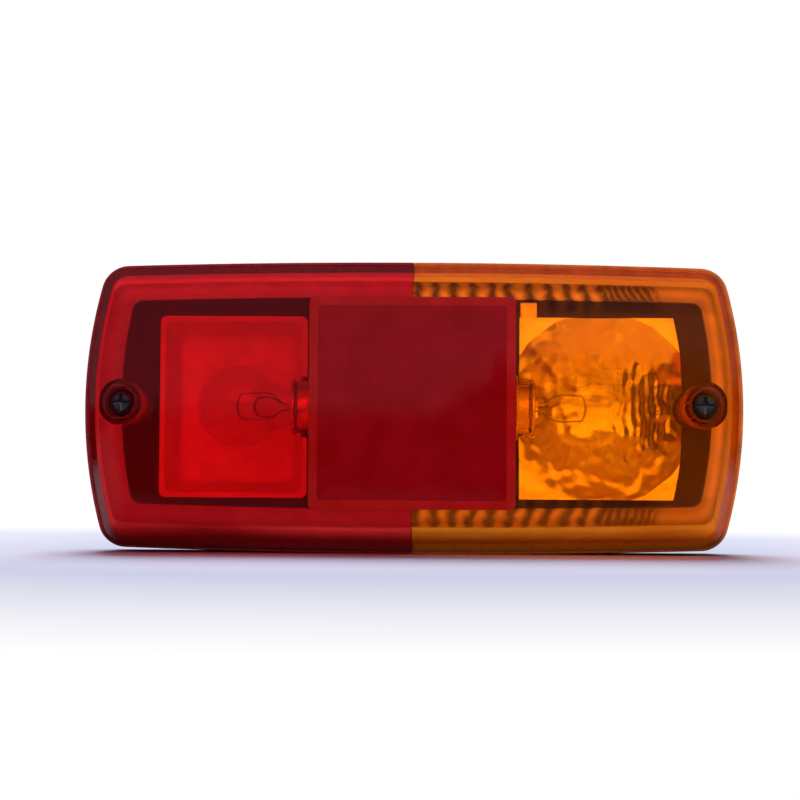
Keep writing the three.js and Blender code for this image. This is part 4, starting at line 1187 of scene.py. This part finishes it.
def make_strap():
    """The brass strip, bent up at both ends, with a rivet on each side of its middle."""
    low = box_mm("earth_strap")[0]
    bottom = CARRIER_BACK - 2.3
    path = rounded([(-25, low.y + 0.2), (-25, bottom - 0.4), (25, bottom - 0.4), (25, low.y + 0.2)], 1.5, 6)
    rings = []
    for i, (x, y) in enumerate(path):
        before, after = Vector(path[max(i - 1, 0)]), Vector(path[min(i + 1, len(path) - 1)])
        along = (after - before).normalized()
        out = Vector((-along.y, along.x)) * 0.38
        half = 2.5 if i in (0, len(path) - 1) else 3
        ring = [(x + out.x * s, y + out.y * s, half * t - 0.12 * t * abs(s)) for s, t in
                ((-1, -0.95), (-0.6, -1), (0.6, -1), (1, -0.95), (1, 0.95), (0.6, 1), (-0.6, 1), (-1, 0.95))]
        rings.append(ring)
    head = rounded([(0, bottom - 0.6), (1.7, bottom - 0.6), (1.5, bottom - 1.3), (0, bottom - 1.5)],
                   [0.1, 0.4], 3)
    rivets = [lathe(head, 32, 0, x) for x in (9, -9)]
    piece("earth_strip", fuse(skin(rings), *rivets), "housing", brass, ["earth_strap"], 40)


def make_terminals():
    """The terminal block, its four clamps and their slotted screws."""
    z = TERMINAL_Z
    body = block((-26, -18, z - 5), (26, CARRIER_BACK, z + 5), 0.5, 3)
    tools = []
    for name, x in TERMINALS:
        tools.append(block((x - 2.75, -15.2, z - 3.2), (x + 2.75, -8.8, z + 3.2), 0.2))
        tools.append(block((x - 1.7, -13.7, z - 6), (x + 1.7, -10.3, z + 6), 0.4, 3))
        tools.append(lathe([(0, -20), (4.2, -20), (2.7, -17), (2.7, -12), (0, -12)], 36, 0, x, z))
    for x in (-12, 0, 12):
        tools.append(block((x - 1, -19, z - 6), (x + 1, -13.5, z + 6), 0.3))
        tools.append(rod(1.1, -20, 0, x, z, 24))
    piece("terminal_housing", cut(body, *tools), "housing", black_plastic, ["terminal_block"])
    for name, x in TERMINALS:
        clamp = block((x - 2.6, -15, z - 3), (x + 2.6, -9, z + 3), 0.3, 2)
        way = block((x - 1.4, -13.4, z - 4), (x + 1.4, -10.6, z + 4), 0.35, 3)
        piece(f"terminal_clamp_{name}", cut(clamp, way, rod(1.35, -17, -12, x, z, 24)), "housing", brass,
              [f"terminal_{name}"])
        head = lathe(rounded([(0, -17.3), (1.6, -17.3), (2.3, -16.6), (2.3, -15.4), (0, -15.4)],
                             [0.3, 0.3, 0.1], 3), 36, 0, x, z)
        shank = thread(x, z, -15.6, -13.2, 1.3, 1.0, 0.5, 24)
        slot = block((-3, -18, -0.35), (3, -16.4, 0.35), 0.08)
        turned = Matrix.Translation((x, 0, z)) @ Matrix.Rotation(rng.uniform(-0.8, 0.8), 4, "Y")
        piece(f"clamp_screw_{name}", fuse(cut(head, slot.move(turned)), shank), "housing", zinc,
              [f"terminal_screw_{name}"])


WIRE_ROUTES = {"turn": [(18, -12, 28), (17.5, -12, 21), (10, -14, 15), (4.5, -20, 9), (2.5, -25.5, 3.5),
                        (5.5, -27, 0.4), (10, -27, 0)],
               "tail": [(-6, -12, 28), (-6, -12, 22), (-4.2, -17, 12), (-2.8, -23.5, 6), (-5, -26.7, 2.2),
                        (-10, -27, 1.5)],
               "stop": [(-18, -12, 28), (-17, -12, 21), (-9, -12.5, 14), (-4, -16, 4), (-2.5, -23, -2.5),
                        (-5, -26.7, -2.2), (-10, -27, -1.5)],
               "earth": [(6, -12, 28), (6, -12, 22), (4.5, -11, 15), (1.5, -10.6, 8), (0, -10.6, 0)]}


def make_wires():
    """Each lead: insulation that stops short of both ends, where seven twisted strands (paint 1) show."""
    for name, route in WIRE_ROUTES.items():
        path = smooth_path(route, 90)
        sleeve = tube(path[7:84], 0.9, 16)
        strands = Shape()
        for k in range(7):
            away = 0 if k == 6 else 0.42
            for first, last in ((0, 9), (82, 90)):
                bare = path[first:last + 1]
                side = (bare[-1] - bare[0]).orthogonal().normalized()
                up = (bare[-1] - bare[0]).normalized().cross(side)
                turns = [math.pi * k / 3 + 0.35 * i for i in range(len(bare))]
                line = [p + (side * math.cos(t) + up * math.sin(t)) * away for p, t in zip(bare, turns)]
                strands.join(tube(line, 0.2, 8, 1))
        piece(f"lead_{name}", sleeve.join(strands), "housing", [insulation[name], copper], [f"{name}_wire"],
              50)


make_carrier()
make_strap()
make_terminals()
make_wires()

# ---- Sockets, contacts and bulbs: made with the bulb axis on X, pointing to +X, then put in place ----

UPRIGHT = Matrix.Rotation(-math.pi / 2, 4, "X")
SOCKET_BOTTOM = 8
SOCKET_MOUTH = 38.5
SOCKET_COLLAR = (32.2, 33.2)
SOCKET_BORE = 7.75
PIN_RADIUS = 1
PIN_REACH = 8.7
PIN_X = 23.3
PUSH_TRAVEL = 2
TWIST = 20
DISC_BACK, DISC_FRONT = 14.3, 16.1
CAP_BACK, CAP_FRONT, CAP_RADIUS = 17.4, 37, 7.5
CONTACT_TIP = 16.5
CONTACT_WAY_RADIUS = 1.45
GLASS_CENTRE, GLASS_RADIUS, NECK_RADIUS = 55.5, 13.25, 6.3
FILAMENT_FOOT = 41.4
PLACES = {
    "turn": Matrix.Translation((0, BULB_AXIS_Y, 0)),
    "tail": Matrix.Translation((0, BULB_AXIS_Y, 0)) @ Matrix.Rotation(math.pi, 4, "Z"),
}
BULBS = {
    "turn": {"pins": ((PIN_X, 1), (PIN_X, -1)), "contacts": (("turn", 0),),
             "filaments": (("turn", 54, 4, 0),)},
    "tail": {"pins": ((PIN_X, 1), (PIN_X + 3, -1)), "contacts": (("tail", 3), ("stop", -3)),
             "filaments": (("tail", 50, 3, -2.4), ("stop", 55, 4, 2.4))},
}


def upright(shape, side, turn=0.0):
    """Turns a shape that points to +Z to the chosen side of the bulb axis."""
    return shape.move(Matrix.Rotation(turn + (0 if side > 0 else math.pi), 4, "X"))


def make_socket(name, place, pins):
    """A pressed bayonet socket: flared mouth, locating collar, slots for the pins and two dimples."""
    low, high = SOCKET_COLLAR
    profile = rounded([(3, SOCKET_BOTTOM), (SOCKET_RADIUS, SOCKET_BOTTOM), (SOCKET_RADIUS, low), (10.5, low),
                       (10.5, high), (SOCKET_RADIUS, high), (SOCKET_RADIUS, 36.6), (9.1, 37.5),
                       (9.1, SOCKET_MOUTH), (SOCKET_BORE, SOCKET_MOUTH), (SOCKET_BORE, 8.7), (3, 8.7)],
                      [1.1, 0.2, 0.35, 0.35, 0.2, 0.8, 0.4, 0.45, 0.4, 0.6], 4)
    shape = lathe_x(profile, 96)
    half = PIN_RADIUS + 0.35
    tools = []
    for at, side in pins:
        back, front = at - PUSH_TRAVEL - half, at + half
        ring = lathe_x([(SOCKET_BORE - 1, back), (12, back), (12, front), (SOCKET_BORE - 1, front)], 96)
        wedge = [(0, 0)] + arc(0, 0, 20, -math.radians(TWIST) - half / SOCKET_BORE, half / SOCKET_BORE, 8)
        cutter = plate(wedge, back - 1, front + 1, 0).move(ALONG_X).move(UPRIGHT)
        tools.append(upright(common(ring, cutter), side))
        tools.append(upright(block((at, -half, 5), (SOCKET_MOUTH + 1, half, 12), 0.3), side,
                             math.radians(TWIST)))
    shape = cut(shape, *tools)
    dimples = []
    foot = Matrix.Translation((12, 0, SOCKET_RADIUS - 0.5)) @ Matrix.Rotation(math.pi / 2, 4, "X")
    for turn in (math.pi / 2, -math.pi / 2):
        dimple = lathe([(0, -0.5), (1.3, -0.5), (1.1, 0.5), (0, 0.9)], 24).move(foot)
        dimples.append(upright(dimple, 1, turn))
    piece(f"bayonet_socket_{name}", fuse(shape, *dimples).move(place), "housing", brass, [f"socket_{name}"],
          40)


def make_contacts(name, place, contacts):
    """The notched disc with its contact rivets, and the spring behind it that the bulb squeezes."""
    holes = [rod_x(CONTACT_WAY_RADIUS, DISC_BACK - 1, DISC_FRONT + 1, 32, z=z) for key, z in contacts]
    rim = rounded([(0, DISC_BACK), (7, DISC_BACK), (7, DISC_FRONT), (5.6, DISC_FRONT),
                   (5.4, DISC_FRONT - 0.3), (0, DISC_FRONT - 0.3)], [0.3, 0.3, 0.15, 0.15], 3)
    notch_low, notch_high = (DISC_BACK - 1, -0.9, 6.4), (DISC_FRONT + 1, 0.9, 8)
    notches = [upright(block(notch_low, notch_high, 0.2), side, math.pi / 2) for side in (1, -1)]
    piece(f"disc_{name}", cut(lathe_x(rim, 72), *holes, *notches).move(place), f"{name}_contacts", phenolic,
          [f"contact_disc_{name}"])
    for key, z in contacts:
        low, high = DISC_BACK - 0.7, DISC_FRONT + 0.1
        pin = lathe_x(rounded([(0, low), (1.0, low), (1.4, low + 0.4), (1.4, high - 0.6), (1.0, high),
                               (0, high)], [0.2, 0.1, 0.3, 0.4], 4), 32)
        piece(f"contact_rivet_{key}", pin.move(place @ Matrix.Translation((0, 0, z))), f"{name}_contacts",
              brass, [f"contact_pin_{key}"])
    turns, steps = 4.2, 150
    start, end = SOCKET_BOTTOM + 1.5, DISC_BACK - 0.5
    path = []
    for i in range(steps + 1):
        share = i / steps
        rise = min(max((share - 0.12) / 0.76, 0), 1)
        angle = 2 * math.pi * turns * share
        radius = 5.75 - 0.2 * rise
        path.append(Vector((start + (end - start) * rise, radius * math.cos(angle),
                            radius * math.sin(angle))))
    made = piece(f"coil_spring_{name}", tube(path, 0.38, 10).move(place), "housing", spring_steel,
                 [f"contact_spring_{name}"], 50)
    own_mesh(made)


def glass_profile(offset):
    """The bulb's outline, moved inwards by offset: straight neck, smooth shoulder and round ball."""
    neck, radius = NECK_RADIUS - offset, GLASS_RADIUS - offset
    start = math.pi - math.asin((neck + 0.9) / radius)
    ball = [(radius * math.sin(a), GLASS_CENTRE + radius * math.cos(a))
            for a in (start * (1 - i / 30) for i in range(31))]
    ball[-1] = (0, ball[-1][1])
    shoulder = rounded([(neck, 26 + offset), (neck, 41.5), ball[1]], 4, 8)
    return [(0, 26 + offset), *rounded([(0, 26 + offset), (neck, 26 + offset), (neck, 30)], 2, 5)[1:-1],
            *shoulder[1:-1], *ball[1:]]


def make_filament(key, height, half_width, aside, place, body):
    """Two bent support wires and, slung between their tips, a fine coil (all tungsten grey)."""
    tips = []
    shape = Shape()
    for side in (-1, 1):
        route = [(FILAMENT_FOOT - 8, aside * 0.3, side * 0.9), (FILAMENT_FOOT, aside * 0.5, side * 1.1),
                 (FILAMENT_FOOT + 4, aside, side * half_width), (height - 1, aside, side * half_width),
                 (height, aside, side * half_width * 0.86)]
        shape.join(tube(smooth_path(route, 40), 0.27, 10))
        tips.append(Vector(route[-1]))
    coil = []
    turns, steps = 15, 15 * 12
    for i in range(steps + 1):
        share = i / steps
        at = tips[0].lerp(tips[1], share) + Vector((0.9 * math.sin(math.pi * share), 0, 0))
        angle = 2 * math.pi * turns * share
        coil.append(at + Vector((math.cos(angle), math.sin(angle), 0)) * 0.34)
    shape.join(tube(coil, 0.11, 6))
    piece(f"filament_coil_{key}", shape.move(place), body, tungsten, [f"filament_{key}"], 60)


def make_bulb(name, place, parts):
    """Cap with its pins, glass, cement ring, mount, insulator, solder contacts and filaments."""
    body = f"{name}_bulb"
    shell = lathe_x(rounded([(4.4, CAP_BACK), (CAP_RADIUS - 0.6, CAP_BACK), (CAP_RADIUS, CAP_BACK + 0.8),
                             (CAP_RADIUS, 33), (CAP_RADIUS - 0.25, 33.4), (CAP_RADIUS - 0.25, 34),
                             (CAP_RADIUS, 34.4), (CAP_RADIUS, CAP_FRONT), (CAP_RADIUS - 0.6, CAP_FRONT),
                             (CAP_RADIUS - 0.6, CAP_BACK + 1.4), (4.4, CAP_BACK + 1.4)],
                            [0.3, 0.4, 0.2, 0.1, 0.1, 0.2, 0.3, 0.2, 0.3], 3), 96)
    lugs = []
    for at, side in parts["pins"]:
        lug = rounded([(0, CAP_RADIUS - 0.5), (1.35, CAP_RADIUS - 0.5), (PIN_RADIUS, CAP_RADIUS + 0.15),
                       (PIN_RADIUS, PIN_REACH), (0, PIN_REACH)], [0.1, 0.2, 0.3], 3)
        lug = lathe([(r, -y) for r, y in lug], 32).move(UPRIGHT)
        lugs.append(upright(lug, side).move(Matrix.Translation((at, 0, 0))))
    piece(f"bayonet_cap_{name}", fuse(shell, *lugs).move(place), body, nickel, [f"{name}_bulb_cap"],
          40)
    outer, inner = glass_profile(0), glass_profile(0.6)
    glass_shell = lathe_x(outer, 96).join(lathe_x(inner, 96))
    piece(f"bulb_envelope_{name}", glass_shell.move(place), body, glass, [f"{name}_bulb_glass"],
          60)
    ring = lathe_x(rounded([(NECK_RADIUS + 0.05, 35.4), (CAP_RADIUS - 0.65, 35.4),
                            (CAP_RADIUS - 0.65, CAP_FRONT - 0.3), (NECK_RADIUS + 0.05, CAP_FRONT + 0.2)],
                           [0.1, 0.3], 3), 72)
    piece(f"cap_cement_ring_{name}", ring.move(place), body, cement)
    stem = lathe_x(rounded([(0, 27), (5.2, 27), (3.4, 31), (2.6, 37), (2.9, 39), (1.5, 41), (0, 41)],
                           [0.8, 2, 2, 1, 0.8], 6), 48)
    pinch = block((30, -3.2, -1.2), (40, 3.2, 1.2), 0.8, 3)
    piece(f"glass_mount_{name}", fuse(stem, pinch).move(place), body, glass, [f"{name}_bulb_stem"],
          50)
    plug = lathe_x(rounded([(0, CONTACT_TIP + 0.5), (3.9, CONTACT_TIP + 0.5), (4.2, CAP_BACK + 1.8),
                            (6, CAP_BACK + 1.8), (6, CAP_BACK + 4), (0, CAP_BACK + 4)], [0.5, 0.4, 0.2, 0.3],
                           4), 64)
    seats = [rod_x(CONTACT_WAY_RADIUS, 14, CONTACT_TIP + 1.4, 32, z=z) for key, z in parts["contacts"]]
    piece(f"vitrite_base_{name}", cut(plug, *seats).move(place), body, dark_glass, [f"{name}_bulb_insulator"])
    for key, z in parts["contacts"]:
        blob = lathe_x(rounded([(0, CONTACT_TIP), (0.7, CONTACT_TIP), (1.35, CONTACT_TIP + 0.55),
                                (1.35, CONTACT_TIP + 1.4), (0, CONTACT_TIP + 1.4)], [0.5, 0.5, 0.1], 5), 36)
        piece(f"solder_point_{key}", blob.move(place @ Matrix.Translation((0, 0, z))), body, solder,
              [f"bulb_contact_{key}"], 60)
    for key, height, half_width, aside in parts["filaments"]:
        make_filament(key, height, half_width, aside, place, body)


for name, parts in BULBS.items():
    make_socket(name, PLACES[name], parts["pins"])
    make_contacts(name, PLACES[name], parts["contacts"])
    make_bulb(name, PLACES[name], parts)


# ---- Stage: floor, camera, lights ----

FLOOR_Z = box_mm("rear_housing")[0].z


def floor_material():
    """Pale and slightly blue near the lamp, and white further off. Gloss sees it dim, but through the lens
    bright and patchy."""
    n = Nodes("pale_floor")
    path = n.add("LightPath").outputs
    pale = n.mix(n.spread(n.noise(400, 3), 0, 1), (0.75, 0.76, 0.95), (0.78, 0.79, 0.97))
    lit = n.shader("BsdfDiffuse", Color=pale)
    dim = n.shader("BsdfDiffuse", Color=(0.12, 0.12, 0.13))
    away = n.add("VectorMath", i0=n.place)
    away.operation = "LENGTH"
    aside = n.spread(n.math("ABSOLUTE", n.axis("X")), 0, 1, 0.1, 0.3)
    far = n.math("MAXIMUM", aside, n.spread(away.outputs["Value"], 0, 1, 0.2, 0.4))
    white = n.shader("Emission", Color=(1, 1, 1), Strength=1)
    glow = n.shader("Emission", Color=(1, 1, 1), Strength=n.spread(n.noise(90, 2), 0.4, 2.1, 0.42, 0.57))
    behind_lens = n.math("GREATER_THAN", path["Transparent Depth"], 1.5)
    open_floor = n.shaders(n.math("MULTIPLY", far, path["Is Camera Ray"]), lit, white)
    return n.show(n.shaders(path["Is Glossy Ray"], open_floor, n.shaders(behind_lens, dim, glow)))


def make_floor():
    bm = bmesh.new()
    bmesh.ops.create_grid(bm, x_segments=24, y_segments=24, size=3.5)
    mesh = bpy.data.meshes.new("floor")
    bm.to_mesh(mesh)
    bm.free()
    floor = bpy.data.objects.new("floor", mesh)
    floor.location.z = FLOOR_Z * MM
    scene.collection.objects.link(floor)
    mesh.materials.append(floor_material())


def make_world():
    """White where the camera sees it. Other rays see a dim room, dark below eye level, or once they have
    passed through clear plastic a bright and patchy room with a dimmer band at eye level."""
    n = Nodes("room", True)
    path = n.add("LightPath").outputs
    slant = n.spread(n.axis("X"), 0, 0.03, 0, 0.05)
    height = n.spread(n.math("SUBTRACT", n.axis("Z"), slant), 0.004, 1, 0.038, 0.048)
    depth = n.spread(n.axis("Y"), 0.2, 0.03, -0.3, 0.3)
    band = n.spread(n.math("ABSOLUTE", n.axis("Z")), 0.3, 1.3, 0.05, 0.3)
    uneven = n.spread(n.add("TexNoise", Scale=7).outputs[0], 0.45, 1.15, 0.4, 0.6)
    dim = n.shader("Background", Color=(0.88, 0.95, 1.2), Strength=n.math("MULTIPLY", height, depth))
    bright = n.shader("Background", Color=(1, 1, 1), Strength=n.math("MULTIPLY", band, uneven))
    white = n.shader("Background", Color=(1, 1, 1), Strength=1.02)
    behind_lens = n.math("GREATER_THAN", path["Transparent Depth"], 1.5)
    scene.world = n.show(n.shaders(path["Is Camera Ray"], n.shaders(behind_lens, dim, bright), white))


def group(name, objects, state):
    """A collection that a light takes its links from; state says whether its objects are in or out."""
    made = bpy.data.collections.new(name)
    for thing in objects:
        made.objects.link(thing)
    for link in made.collection_objects:
        link.light_linking.link_state = state
    return made


def make_light(name, azimuth, elevation, distance, width, height, radiance, lights=None, through=None,
               glossy=True):
    """A soft panel light that faces the lamp. Angles are in degrees: azimuth 0 is the lamp's front and 90 its
    right end. lights and through are the collections that it lights and that cast its shadows."""
    light = bpy.data.lights.new(name, "AREA")
    light.shape = "RECTANGLE"
    light.size, light.size_y = width, height
    light.energy = radiance * math.pi * width * height
    made = bpy.data.objects.new(name, light)
    a, e = math.radians(azimuth), math.radians(elevation)
    back = Vector((math.sin(a) * math.cos(e), -math.cos(a) * math.cos(e), math.sin(e)))
    made.location = back * distance
    made.rotation_euler = back.to_track_quat("Z", "Y").to_euler()
    made.visible_camera = False
    made.visible_glossy = glossy
    made.light_linking.receiver_collection = lights
    made.light_linking.blocker_collection = through
    scene.collection.objects.link(made)


def make_lights():
    """Eight soft panels. The reflectors and the floor have one each of their own, and the coloured plastic
    has three, which no gloss mirrors. The other parts share the rest."""
    lens, floor, reflectors = ([bpy.data.objects[name] for name in names] for names in (
        ("red_lens_shell", "amber_lens_shell", "reflex_panel"), ("floor",),
        ("tail_reflector_tray", "turn_reflector_bowl", "bayonet_socket_tail", "bayonet_socket_turn")))
    parts = group("the_hardware", lens + floor + reflectors, "EXCLUDE")
    only_reflectors = group("the_reflectors", reflectors, "INCLUDE")
    only_floor = group("the_floor", floor, "INCLUDE")
    not_lens = group("all_but_the_lens", lens + floor, "EXCLUDE")
    only_lens = group("the_lens", lens, "INCLUDE")
    no_floor = group("all_but_the_floor", floor, "EXCLUDE")
    make_light("key_panel", 14, 34, 1.7, 2.6, 1.5, 3.2, parts)
    make_light("top_panel", 0, 115, 1.5, 1.8, 1.0, 1.6, not_lens)
    make_light("back_panel", 205, 30, 1.7, 2.0, 1.2, 1.8, parts)
    make_light("reflector_panel", 10, 8, 1.7, 2.6, 1.5, 1.85, only_reflectors)
    make_light("floor_panel", 8, 112, 1.6, 0.8, 1.4, 7.4, only_floor)
    make_light("lens_panel_high", 18, 10, 1.6, 2.4, 1.2, 0.9, only_lens, None, False)
    make_light("lens_panel_top", 15, 112, 1.5, 2.4, 1.2, 4.2, only_lens, None, False)
    make_light("lens_panel_low", 12, -22, 1.5, 2.0, 0.9, 1.15, only_lens, no_floor, False)


EYE = Vector((0.0065, -0.623, -0.027))
AIM = Vector((-0.0043, -0.023, 0.0026))
LENS_LENGTH = 84.2
ROLL = 0.4


def make_camera():
    data = bpy.data.cameras.new("camera")
    data.lens = LENS_LENGTH
    data.sensor_width = 36
    data.clip_start = 0.01
    camera = bpy.data.objects.new("camera", data)
    look = (AIM - EYE).to_track_quat("-Z", "Y").to_matrix() @ Matrix.Rotation(math.radians(ROLL), 3, "Z")
    camera.matrix_world = Matrix.Translation(EYE) @ look.to_4x4()
    scene.collection.objects.link(camera)
    scene.camera = camera


make_floor()
make_world()
make_lights()
make_camera()
scene.view_settings.view_transform = "Standard"
scene.cycles.transparent_max_bounces = 32
